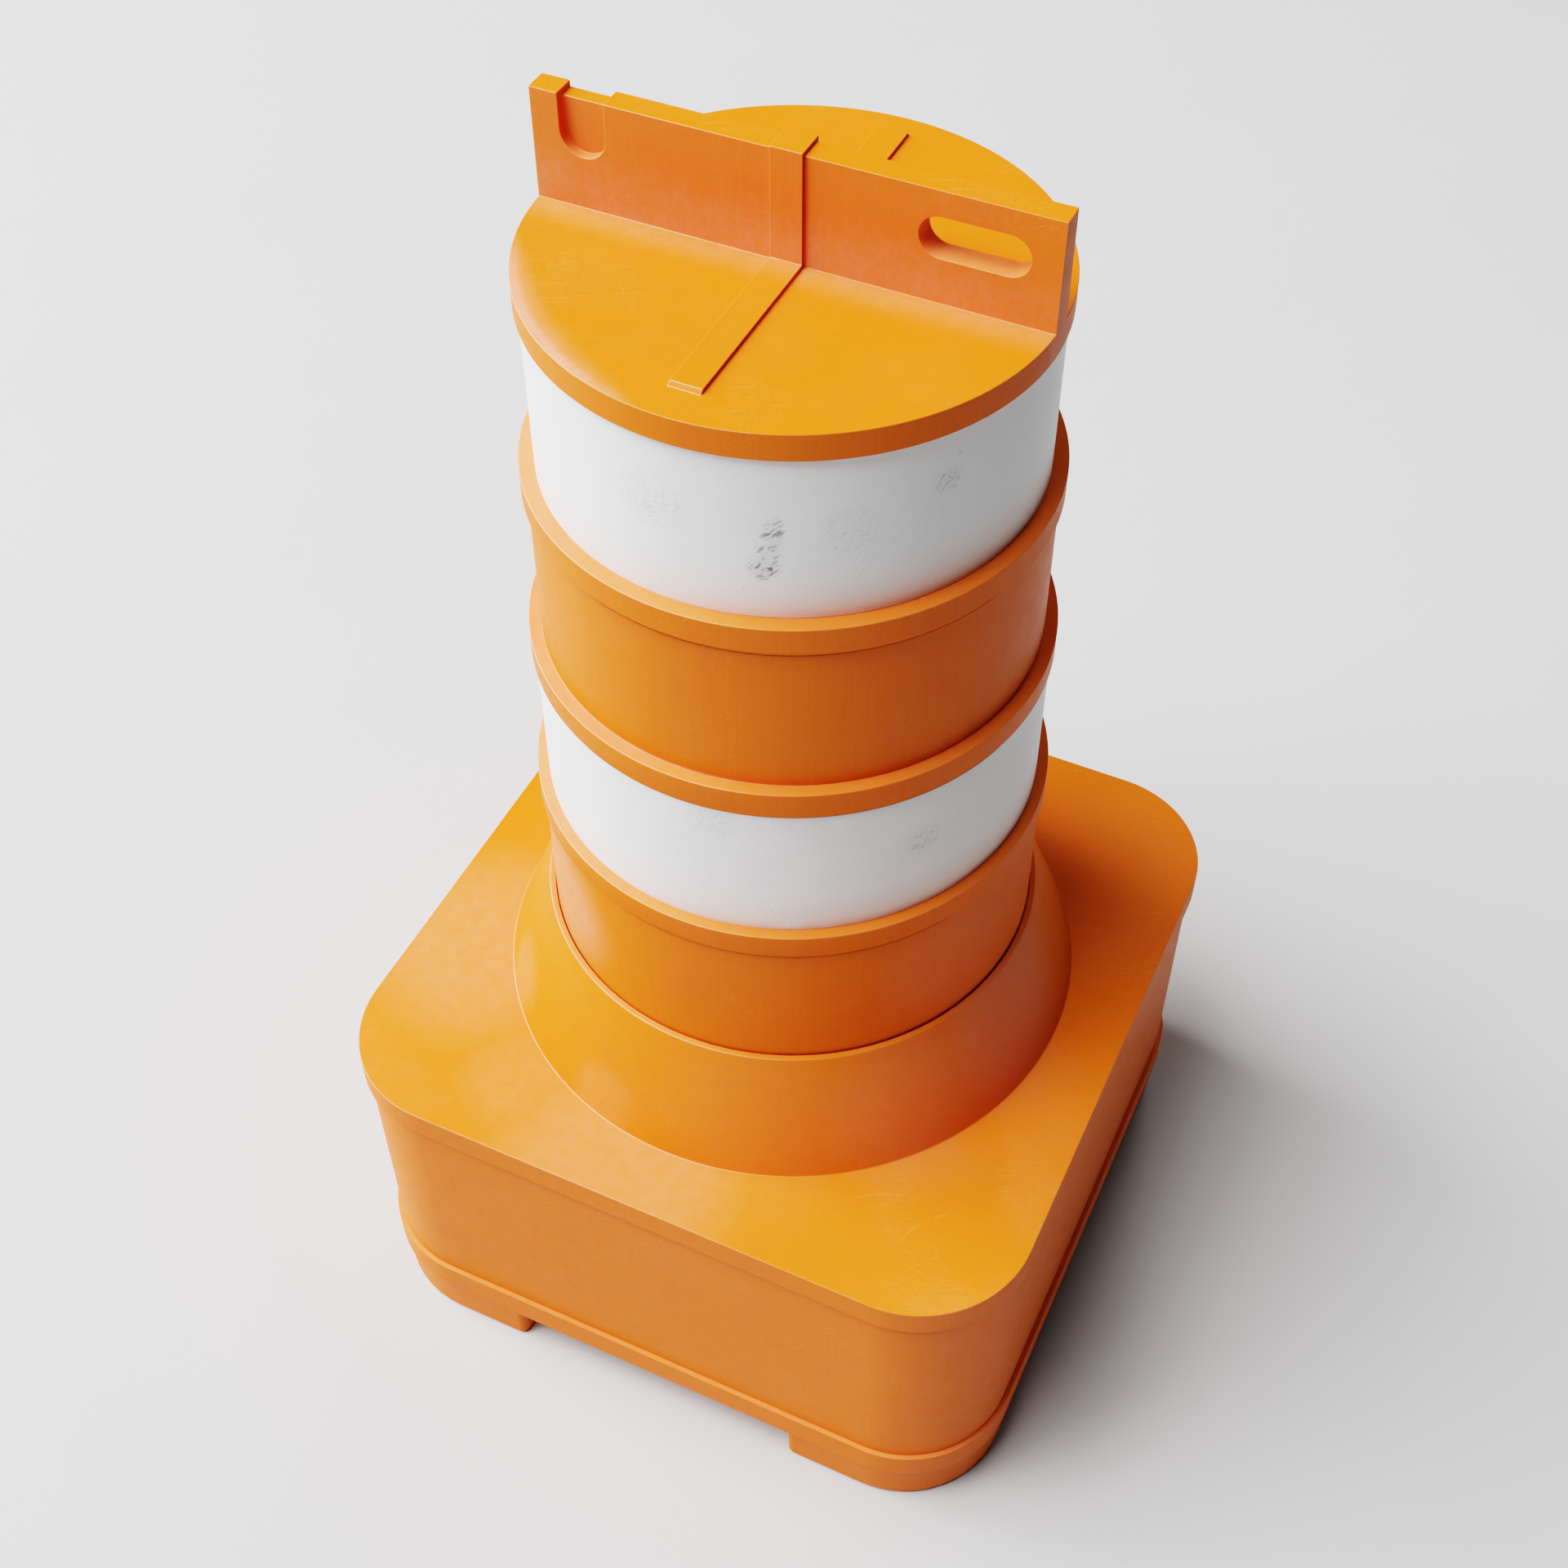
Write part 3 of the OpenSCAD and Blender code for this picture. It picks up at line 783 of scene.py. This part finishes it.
def round_places(count, r):
    """Points on a circle, the first half a step round from +X."""
    turns = [2 * math.pi * (i + 0.5) / count for i in range(count)]
    return [(r * math.cos(a), r * math.sin(a)) for a in turns]


def key_slots():
    """Cutters for the four slots in the shell's foot that the socket's keys fit."""
    foot, reach = low("drum_shell").z, skin_radius(SHEETS[-1])
    bottom, top = foot - WALL, foot + KEY_SLOT_TOP
    slots = []
    for side in (-1, 1):
        near, far = sorted((side * (reach - 4 * WALL), side * (reach + WALL)))
        on_x = box_outline(near, -KEY_SLOT_HALF, far, KEY_SLOT_HALF)
        on_y = box_outline(-KEY_SLOT_HALF, near, KEY_SLOT_HALF, far)
        slots += [prism("slot", outline, along_z, bottom, top) for outline in (on_x, on_y)]
    return slots


def neck_holes(flange_top):
    """Cutters for the cap screws' holes in the shell's neck flange."""
    places = round_places(DRUM_SCREWS, DRUM_SCREW_CIRCLE)
    return [rod("hole", SCREW_HOLE, flange_top - 2 * WALL, flange_top + WALL / 2, at) for at in places]


def make_shell():
    outer, inner = shell_side(0), shell_side(WALL)
    neck_wall = inner[0][0]
    flange_top = low("top_cap").z
    flange_foot = flange_top - WALL
    flange = [
        (neck_wall, flange_top), (NECK_BORE, flange_top),
        (NECK_BORE, flange_foot), (neck_wall, flange_foot)]
    profile = outer + [inner[-1]] + inner[1:-1][::-1] + flange[::-1] + [inner[0]]
    shell = turned("drum_shell_body", profile)
    cutters = key_slots() + neck_holes(flange_top)
    paint(shell, *shell_plastic)
    soften(shell, SHELL_EDGE)
    settle(shell)
    combine(shell, "DIFFERENCE", cutters)
    place(shell, "drum", "drum_shell")


def make_sheet(node, materials):
    """Film wrapped once round its land, its end lapped over its start at the rear."""
    inner, outer = skin_radius(node), high(node).x
    thin = outer - THIN_SHARE * (outer - inner)
    z0, z1 = low(node).z, high(node).z
    ring = widest("drum_shell", z1, z1 + 2 * RING_H)[0]
    lean = 0 if node == SHEETS[0] else RING_SLOPE / (ring - inner) * LEAN_SHARE

    def loop(z, r_in):
        points = []
        for i in range(DRUM_STEPS):
            turn = 2 * math.pi * i / DRUM_STEPS
            lapped = 0 <= (turn - LAP_SEAM) < LAP / outer
            r = inner if r_in else (outer if lapped else thin)
            rise = lean * (r - inner) if z == z1 else 0
            points.append(Vector((r * math.cos(turn), r * math.sin(turn), z + rise)))
        return points

    sheet = loft(node + "_film", [loop(z0, True), loop(z0, False), loop(z1, False), loop(z1, True)], True)
    paint(sheet, *materials)
    soften(sheet, FILM_EDGE)
    settle(sheet)
    place(sheet, "drum", node)


FIN_HALF = 9 * MM
FIN_WALL = 3.2 * MM
CAP_WALL = 3.5 * MM
SLOT_X = 124 * MM
SLOT_RISE = 46.5 * MM
SLOT_HALF = 22 * MM
SLOT_R = 14.5 * MM
SLOT_WALL = 3 * MM
POCKET_X = -144 * MM
POCKET_R = 16.4 * MM
POCKET_RISE = 53.5 * MM
POCKET_DEPTH = 6.7 * MM
POCKET_DROP = 4.5 * MM
STRAP_T = 2.8 * MM
STRAP_FRONT = 154 * MM
STRAP_REAR = 162 * MM
STRAP_RAMP = 3 * MM
BOSS_R = 6 * MM
SEAT_GAP = 0.3 * MM
BEND_STEPS = 20  # steps round each half circle of the slot and the pocket
END_STEPS = 4
HALF_STEPS = 140


def cap_angles():
    """Angles round the cap, with points where the fin's faces meet the rim: the two ends, then the halves."""
    cap_r = high("top_cap").x
    a = math.asin(FIN_HALF / cap_r)

    def span(start, end, steps):
        return [start + (end - start) * i / steps for i in range(steps)]

    right = span(-a, a, END_STEPS)
    rear = span(a, math.pi - a, HALF_STEPS)
    left = span(math.pi - a, math.pi + a, END_STEPS)
    front = span(math.pi + a, 2 * math.pi - a, HALF_STEPS)
    return right, rear, left, front


def cap_blank(disc, fin_top):
    """The cap's rimmed disc and its fin as one solid, the fin's ends flush with the rim."""
    cap_r, bottom = high("top_cap").x, low("top_cap").z
    right, rear, left, front = cap_angles()
    angles = right + rear + left + front
    bm = bmesh.new()

    def ring(r, z):
        return [bm.verts.new((r * math.cos(a), r * math.sin(a), z)) for a in angles]

    def wall(a, b, span):
        for i in span:
            k = (i + 1) % len(angles)
            bm.faces.new((a[i], a[k], b[k], b[i]))

    under, inner = ring(cap_r - CAP_WALL, disc - WALL), ring(cap_r - CAP_WALL, bottom)
    outer, edge, crest = ring(cap_r, bottom), ring(cap_r, disc), ring(cap_r, fin_top)
    everywhere = range(len(angles))
    wall(under, inner, everywhere)
    wall(inner, outer, everywhere)
    wall(outer, edge, everywhere)
    bm.faces.new(under)
    left_start = len(right) + len(rear)
    front_start = left_start + len(left)
    wall(edge, crest, range(len(right)))
    wall(edge, crest, range(left_start, front_start))
    rear_rim = edge[len(right):left_start + 1]
    front_rim = edge[front_start:] + edge[:1]
    bm.faces.new(rear_rim)
    bm.faces.new(front_rim)
    right_crest = crest[:len(right) + 1]
    left_crest = crest[left_start:front_start + 1]
    bm.faces.new(right_crest + left_crest)
    bm.faces.new((right_crest[-1], left_crest[0], rear_rim[-1], rear_rim[0]))
    bm.faces.new((left_crest[-1], right_crest[0], front_rim[-1], front_rim[0]))
    loose = [v for v in bm.verts if not v.link_faces]
    bmesh.ops.delete(bm, geom=loose, context="VERTS")
    return finish_object("top_cap_body", bm)


def stadium(disc, grow):
    """The hand slot's outline, grown outward."""
    z, r = disc + SLOT_RISE, SLOT_R + grow
    right = arc((SLOT_X + SLOT_HALF, z), r, -math.pi / 2, math.pi / 2, BEND_STEPS)
    left = arc((SLOT_X - SLOT_HALF, z), r, math.pi / 2, 3 * math.pi / 2, BEND_STEPS)
    return right + left


def strap_outline(disc, fin_top):
    face, crown = FIN_HALF + STRAP_T, fin_top + STRAP_T
    sunk = disc - WALL / 2
    return [
        (-STRAP_FRONT, sunk), (-STRAP_FRONT, disc), (-STRAP_FRONT + STRAP_RAMP, disc + STRAP_T),
        (-face, disc + STRAP_T), (-face, crown), (face, crown), (face, disc + STRAP_T),
        (STRAP_REAR - STRAP_RAMP, disc + STRAP_T), (STRAP_REAR, disc), (STRAP_REAR, sunk)]


def make_cap():
    heights = levels("top_cap")
    crown = heights[-1]
    fin_top = crown - STRAP_T
    disc = high("drum_shell").z + WALL + SEAT_GAP
    bottom = low("top_cap").z
    cap = cap_blank(disc, fin_top)
    strap = prism("strap", strap_outline(disc, fin_top), along_x, -STRAP_HALF, STRAP_HALF)
    places = round_places(DRUM_SCREWS, DRUM_SCREW_CIRCLE)
    bosses = [rod("boss", BOSS_R, bottom, disc - WALL / 2, at) for at in places]
    combine(cap, "UNION", [strap] + bosses)
    inside = POCKET_X + POCKET_R + SLOT_WALL, high("top_cap").x - 2 * FIN_WALL
    half = FIN_HALF - FIN_WALL
    room = box_outline(inside[0], disc - 2 * WALL, inside[1], fin_top - WALL)
    hollow = prism("hollow", room, along_y, -half, half)
    combine(hollow, "DIFFERENCE", [prism("core", stadium(disc, SLOT_WALL), along_y, -FIN_HALF, FIN_HALF)])
    through = 3 * FIN_HALF
    slot = prism("slot", stadium(disc, 0), along_y, -through, through)
    bend = arc((POCKET_X, disc + POCKET_RISE), POCKET_R, math.pi, 2 * math.pi, BEND_STEPS)
    above = fin_top + 2 * WALL
    outline = bend + [(POCKET_X + POCKET_R, above), (POCKET_X - POCKET_R, above)]
    pocket = prism("pocket", outline, along_y, -through, -FIN_HALF + POCKET_DEPTH)
    lowered = box_outline(POCKET_X - POCKET_R, fin_top - POCKET_DROP, POCKET_X + POCKET_R, above)
    drop = prism("drop", lowered, along_y, -through, through)
    pilots = [rod("pilot", PILOT_HOLE, bottom - WALL, disc - 2 * WALL, at) for at in places]
    combine(cap, "DIFFERENCE", [hollow, slot, pocket, drop] + pilots)
    paint(cap, *cap_plastic)
    soften(cap, CAP_EDGE, flatten=True, angle=28)
    settle(cap)
    place(cap, "drum", "top_cap")


# ------------------------------------------------------------------------------------------
# The base: cover and tray
# ------------------------------------------------------------------------------------------
BASE_CORNER = 97 * MM
RECESS = 4 * MM
RIM_SLOPE = 4 * MM
CONE_WALL = 4.4 * MM
LIP_BORE = 198.6 * MM
SLAB_MARGIN = 40 * MM  # the cone's foot lies at least this far inside the base's edge


def base_loop(inset, z):
    """The base's outline drawn in by inset: a square with round corners."""
    half = high("base_cover").x
    centre = half - BASE_CORNER
    r = BASE_CORNER - inset
    points = []
    for quarter in range(4):
        turn = quarter * math.pi / 2
        cos, sin = round(math.cos(turn)), round(math.sin(turn))
        side = [(half - inset, -centre + 2 * centre * i / SIDE_STEPS) for i in range(SIDE_STEPS)]
        side += arc((centre, centre), r, 0, math.pi / 2, CORNER_STEPS)[:-1]
        points += [Vector((x * cos - y * sin, x * sin + y * cos, z)) for x, y in side]
    return points


def matched_circle(r, z):
    """A circle whose points lie on the same spokes as the base outline's points."""
    return [Vector((r * p.x / radius(p), r * p.y / radius(p), z)) for p in base_loop(0, z)]


def cone_sizes():
    """The collar's lip radius and height, and the cone's foot radius and height, from the CAD cover."""
    lip_z = high("base_cover").z
    lip_r, _, _ = widest("base_cover", lip_z, lip_z)
    half = high("base_cover").x
    rim = [p.z for p in cad_points("base_cover") if max(abs(p.x), abs(p.y)) > half - HAIR]
    top_z = max(rim)
    level = [radius(p) for p in cad_points("base_cover") if abs(p.z - top_z) < HAIR]
    return lip_r, lip_z, max(r for r in level if r < half - SLAB_MARGIN), top_z


def make_cover():
    lip_r, lip_z, foot_r, top = cone_sizes()
    ledge = low("base_cover").z
    slope = (foot_r - lip_r) / (lip_z - top)
    neck, roof = lip_z - WALL, top - WALL
    neck_r = lip_r + (lip_z - neck) * slope - CONE_WALL
    roof_r = lip_r + (lip_z - roof) * slope - CONE_WALL
    rim = top - RIM_H
    loops = [
        base_loop(RECESS, ledge), base_loop(RECESS, rim - RIM_SLOPE),
        base_loop(0, rim), base_loop(0, top),
        matched_circle(foot_r, top), matched_circle(lip_r, lip_z),
        matched_circle(LIP_BORE, lip_z), matched_circle(LIP_BORE, neck),
        matched_circle(neck_r, neck), matched_circle(roof_r, roof),
        base_loop(RECESS + WALL, roof), base_loop(RECESS + WALL, ledge)]
    cover = loft("base_cover_body", loops, True)
    paint(cover, *base_plastic)
    soften(cover, BASE_EDGE)
    settle(cover)
    place(cover, "base", "base_cover")


TRAY_RIM = 16 * MM
TRAY_FLOOR = 4 * MM
UPSTAND_OUT, UPSTAND_IN = 8.3 * MM, 12 * MM
FOOT_INSET = 4 * MM
FOOT_SLOPE = 6 * MM
FOOT_ROUND = 4 * MM
NOTCH_ROUND = 7 * MM
NOTCH_STEPS = 12  # steps round each corner of a foot
ROUND_STEPS = 4  # steps down the rounding at the bottom of a foot
OVERLAP = 0.01 * MM  # keeps a foot's walls just inside the tray's, so that the two join cleanly
RECESS_STEPS, BORE_STEPS = 96, 48
PAD_RECESS = 40.2 * MM
COUNTERBORE_AT, COUNTERBORE_R = 258 * MM, 7 * MM


def corners_of(c):
    return [(sx * c, sy * c) for sx in (-1, 1) for sy in (-1, 1)]


def foot_loop(sx, sy, channel, inset, shrink, z):
    """One foot's outline: the base's corner outside, and the sides of the fork channels inside."""
    half = high("base_tray").x - inset
    near = channel + shrink
    corners = [
        (near, near, NOTCH_ROUND), (half, near, NOTCH_ROUND),
        (half, half, BASE_CORNER - inset), (near, half, NOTCH_ROUND)]
    return [Vector((sx * u, sy * v, z)) for u, v in rounded_outline(corners, NOTCH_STEPS)]


def make_foot(sx, sy, channel, top, bottom):
    loops = [
        foot_loop(sx, sy, channel, OVERLAP, 0, top + TRAY_FLOOR / 2),
        foot_loop(sx, sy, channel, OVERLAP, 0, top),
        foot_loop(sx, sy, channel, FOOT_INSET, 0, top - FOOT_SLOPE)]
    for i in range(ROUND_STEPS + 1):
        turn = math.radians(90 * i / ROUND_STEPS)
        in_by = FOOT_ROUND * (1 - math.cos(turn))
        z = bottom + FOOT_ROUND * (1 - math.sin(turn))
        loops.append(foot_loop(sx, sy, channel, FOOT_INSET + in_by, in_by, z))
    return loft("foot", loops, False)


def make_tray():
    heights = levels("base_tray")
    bottom, upstand = heights[0], heights[-1]
    ledge = low("base_cover").z
    floor = low("lower_ballast_slab").z
    under = floor - TRAY_FLOOR
    loops = [
        base_loop(TRAY_RIM, floor), base_loop(TRAY_RIM, ledge),
        base_loop(UPSTAND_IN, ledge), base_loop(UPSTAND_IN, upstand),
        base_loop(UPSTAND_OUT, upstand), base_loop(UPSTAND_OUT, ledge),
        base_loop(0, ledge), base_loop(0, under)]
    tray = loft("base_tray_body", loops, False)
    channel = min(abs(p.x) for p in cad_points("base_tray") if p.z < under - FOOT_SLOPE)
    feet = [make_foot(sx, sy, channel, under, bottom) for sx in (-1, 1) for sy in (-1, 1)]
    combine(tray, "UNION", feet)
    pad_at = (low("front_right_foot_pad").x + high("front_right_foot_pad").x) / 2
    pad_top = high("front_right_foot_pad").z
    below = bottom - pad_top
    cutters = [rod("recess", PAD_RECESS, below, pad_top, at, RECESS_STEPS) for at in corners_of(pad_at)]
    for at in corners_of(COUNTERBORE_AT):
        cutters.append(rod("bore", COUNTERBORE_R, below, under, at, BORE_STEPS))
    combine(tray, "DIFFERENCE", cutters)
    paint(tray, *tray_plastic)
    soften(tray, TRAY_EDGE, flatten=True)
    settle(tray)
    place(tray, "base", "base_tray")


# ------------------------------------------------------------------------------------------
# CAD nodes that stay as they are, with softened edges and finished materials
# ------------------------------------------------------------------------------------------
def keep(node, materials, edge):
    """Gives a CAD node its materials and, by modifiers, softened edges.

    Its vertices and its place stay. Its mesh's smooth flags and its list of materials are set.
    """
    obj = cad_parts[node]
    paint(obj, *materials)
    soften(obj, edge, flatten=True, segments=2)
    for face in obj.data.polygons:
        face.use_smooth = True
    normals = obj.modifiers.new("normals", "WEIGHTED_NORMAL")
    normals.keep_sharp = True


# ------------------------------------------------------------------------------------------
# Stage: floor, light and camera
# ------------------------------------------------------------------------------------------
FLOOR = colour(0.505, 0.505, 0.505)
FLOOR_DARK = colour(0.485, 0.485, 0.485)
STAGE_R = 30.0
BACKDROP_GLOW = 1.1
FLOOR_FADE_START, FLOOR_FADE_END = 3.4, 8.0

# Softboxes: name, azimuth and elevation of the side they shine from in degrees, and watts.
# Azimuth 0 is the front and -90 the left. The watts are round values, started from a fit to the photo.
SOFTBOXES = [
    ("left_low", -90, 18, 740),
    ("left_high", -85, 40, 420),
    ("front_left", -50, 40, 520),
    ("left_top", -75, 65, 510),
    ("front_top", -30, 65, 660),
    ("rear_fill", 180, 30, 250),
]
SOFTBOX_SIZE = 4.5
SOFTBOX_DISTANCE = 9.0
SOFTBOX_TARGET = Vector((0, 0, 0.5))

# The camera's values come from a camera fit to the photo. Angles are in degrees.
CAMERA_AZIMUTH, CAMERA_ELEVATION, CAMERA_ROLL = 25.28, 47.82, -0.165
CAMERA_TARGET = Vector((-0.0065, -0.0031, 0.5234))
CAMERA_DISTANCE = 1.741
CAMERA_LENS = 49.48


def towards(azimuth, elevation):
    """The direction to something seen from the object at an azimuth and elevation in degrees."""
    a, e = math.radians(azimuth), math.radians(elevation)
    return Vector((math.sin(a) * math.cos(e), -math.cos(a) * math.cos(e), math.sin(e)))


def stand(name, data, target, direction, distance):
    """Puts a light or camera at a distance from its target, looking at it."""
    obj = bpy.data.objects.new(name, data)
    obj.location = target + direction * distance
    obj.rotation_mode = "QUATERNION"
    obj.rotation_quaternion = (-direction).to_track_quat("-Z", "Y")
    bpy.context.scene.collection.objects.link(obj)
    return obj


def flat_disc(name, r, z=0.0):
    bm = bmesh.new()
    bm.faces.new([bm.verts.new(p) for p in circle(r, z, 96)])
    return finish_object(name, bm)


def glow(name):
    """A plain pale light-giving material."""
    n = Nodes(name)
    n.shader.inputs["Base Color"].default_value = colour(0, 0, 0)
    n.shader.inputs["Emission Color"].default_value = colour(1, 1, 1)
    n.shader.inputs["Emission Strength"].default_value = BACKDROP_GLOW
    return n.material


def make_floor():
    """A pale floor that melts into the backdrop in the distance."""
    floor = flat_disc("floor", STAGE_R)
    n = Nodes("pale_floor")
    patches = n.times(n.clouds(3.0, 0.3, 0.7, 6.0), 0.5)
    n.feed(n.shader.inputs["Base Color"], n.mix(patches, FLOOR, FLOOR_DARK))
    n.shader.inputs["Roughness"].default_value = 0.9
    n.feed(n.shader.inputs["Alpha"], n.ramp(n.radius(), FLOOR_FADE_START, FLOOR_FADE_END, 1.0, 0.0))
    floor.data.materials.append(n.material)


def make_backdrop():
    """A pale dome and ground behind everything, which only the camera sees."""
    bm = bmesh.new()
    bmesh.ops.create_uvsphere(bm, u_segments=64, v_segments=32, radius=STAGE_R)
    for piece in (finish_object("backdrop", bm), flat_disc("far_floor", STAGE_R, -10 * MM)):
        piece.data.materials.append(glow(piece.name))
        piece.visible_diffuse = False
        piece.visible_glossy = False
        piece.visible_shadow = False


def make_lights():
    for name, azimuth, elevation, power in SOFTBOXES:
        data = bpy.data.lights.new(name, "AREA")
        data.shape = "DISK"
        data.size = SOFTBOX_SIZE
        data.energy = power
        box = stand(name, data, SOFTBOX_TARGET, towards(azimuth, elevation), SOFTBOX_DISTANCE)
        box.visible_glossy = azimuth < 90
    world = bpy.data.worlds.new("studio")
    world.use_nodes = True
    world.node_tree.nodes["Background"].inputs["Color"].default_value = colour(0, 0, 0)
    bpy.context.scene.world = world


def make_camera():
    data = bpy.data.cameras.new("camera")
    data.lens = CAMERA_LENS
    camera = stand("camera", data, CAMERA_TARGET, towards(CAMERA_AZIMUTH, CAMERA_ELEVATION), CAMERA_DISTANCE)
    roll = Quaternion((0, 0, 1), math.radians(CAMERA_ROLL))
    camera.rotation_quaternion = camera.rotation_quaternion @ roll
    bpy.context.scene.camera = camera
    bpy.context.scene.view_settings.view_transform = "Filmic"
    bpy.context.scene.view_settings.look = "High Contrast"


make_camera()
make_lights()
make_floor()
make_backdrop()

cap_plastic = orange_pair("cap_plastic", 0.04, edge=0.2, dust=cap_dust_and_highlight, chalk=cap_chalk, grime=strap_grime)
shell_plastic = orange_pair("shell_plastic", 0.1, edge=0.3, dust=ledge_dust)
base_plastic = orange_pair(
    "base_plastic", 0.1, edge=0.2, dust=base_dust_and_highlight, chalk=base_chalk, grime=rim_grime, rubs=base_rubs)
tray_plastic = orange_pair("tray_plastic", 0.1, edge=0.35, dust=tray_dust)
orange_film = orange_pair("orange_film", 0.05, edge=0.3, dust=film_dust_and_highlight, chalk=film_chalk)
white_film = sheeting("white_film"), sheeting("white_film_edge", 0.5)
ballast_rubber = rubber("ballast_rubber"), rubber("ballast_rubber_edge", 0.4)
pad_rubber = rubber("pad_rubber"), rubber("pad_rubber_edge", 0.3)
zinc = plated_steel("zinc_plate")

make_shell()
make_sheet(UPPER_WHITE, white_film)
make_sheet(UPPER_ORANGE, orange_film)
make_sheet(LOWER_WHITE, white_film)
make_sheet(LOWER_ORANGE, orange_film)
make_cap()
make_cover()
make_tray()

keep("drum_socket", base_plastic, 0.6 * MM)
for ballast in ("lower_ballast_slab", "upper_ballast_slab"):
    keep(ballast, ballast_rubber, 2 * MM)
for pad in ("front_left_foot_pad", "front_right_foot_pad", "rear_left_foot_pad", "rear_right_foot_pad"):
    keep(pad, pad_rubber, 0.8 * MM)
for fastener in ("ballast_bolts", "ballast_washers", "tray_screws", "socket_screws", "cap_screws"):
    keep(fastener, (zinc, zinc), 0.4 * MM)
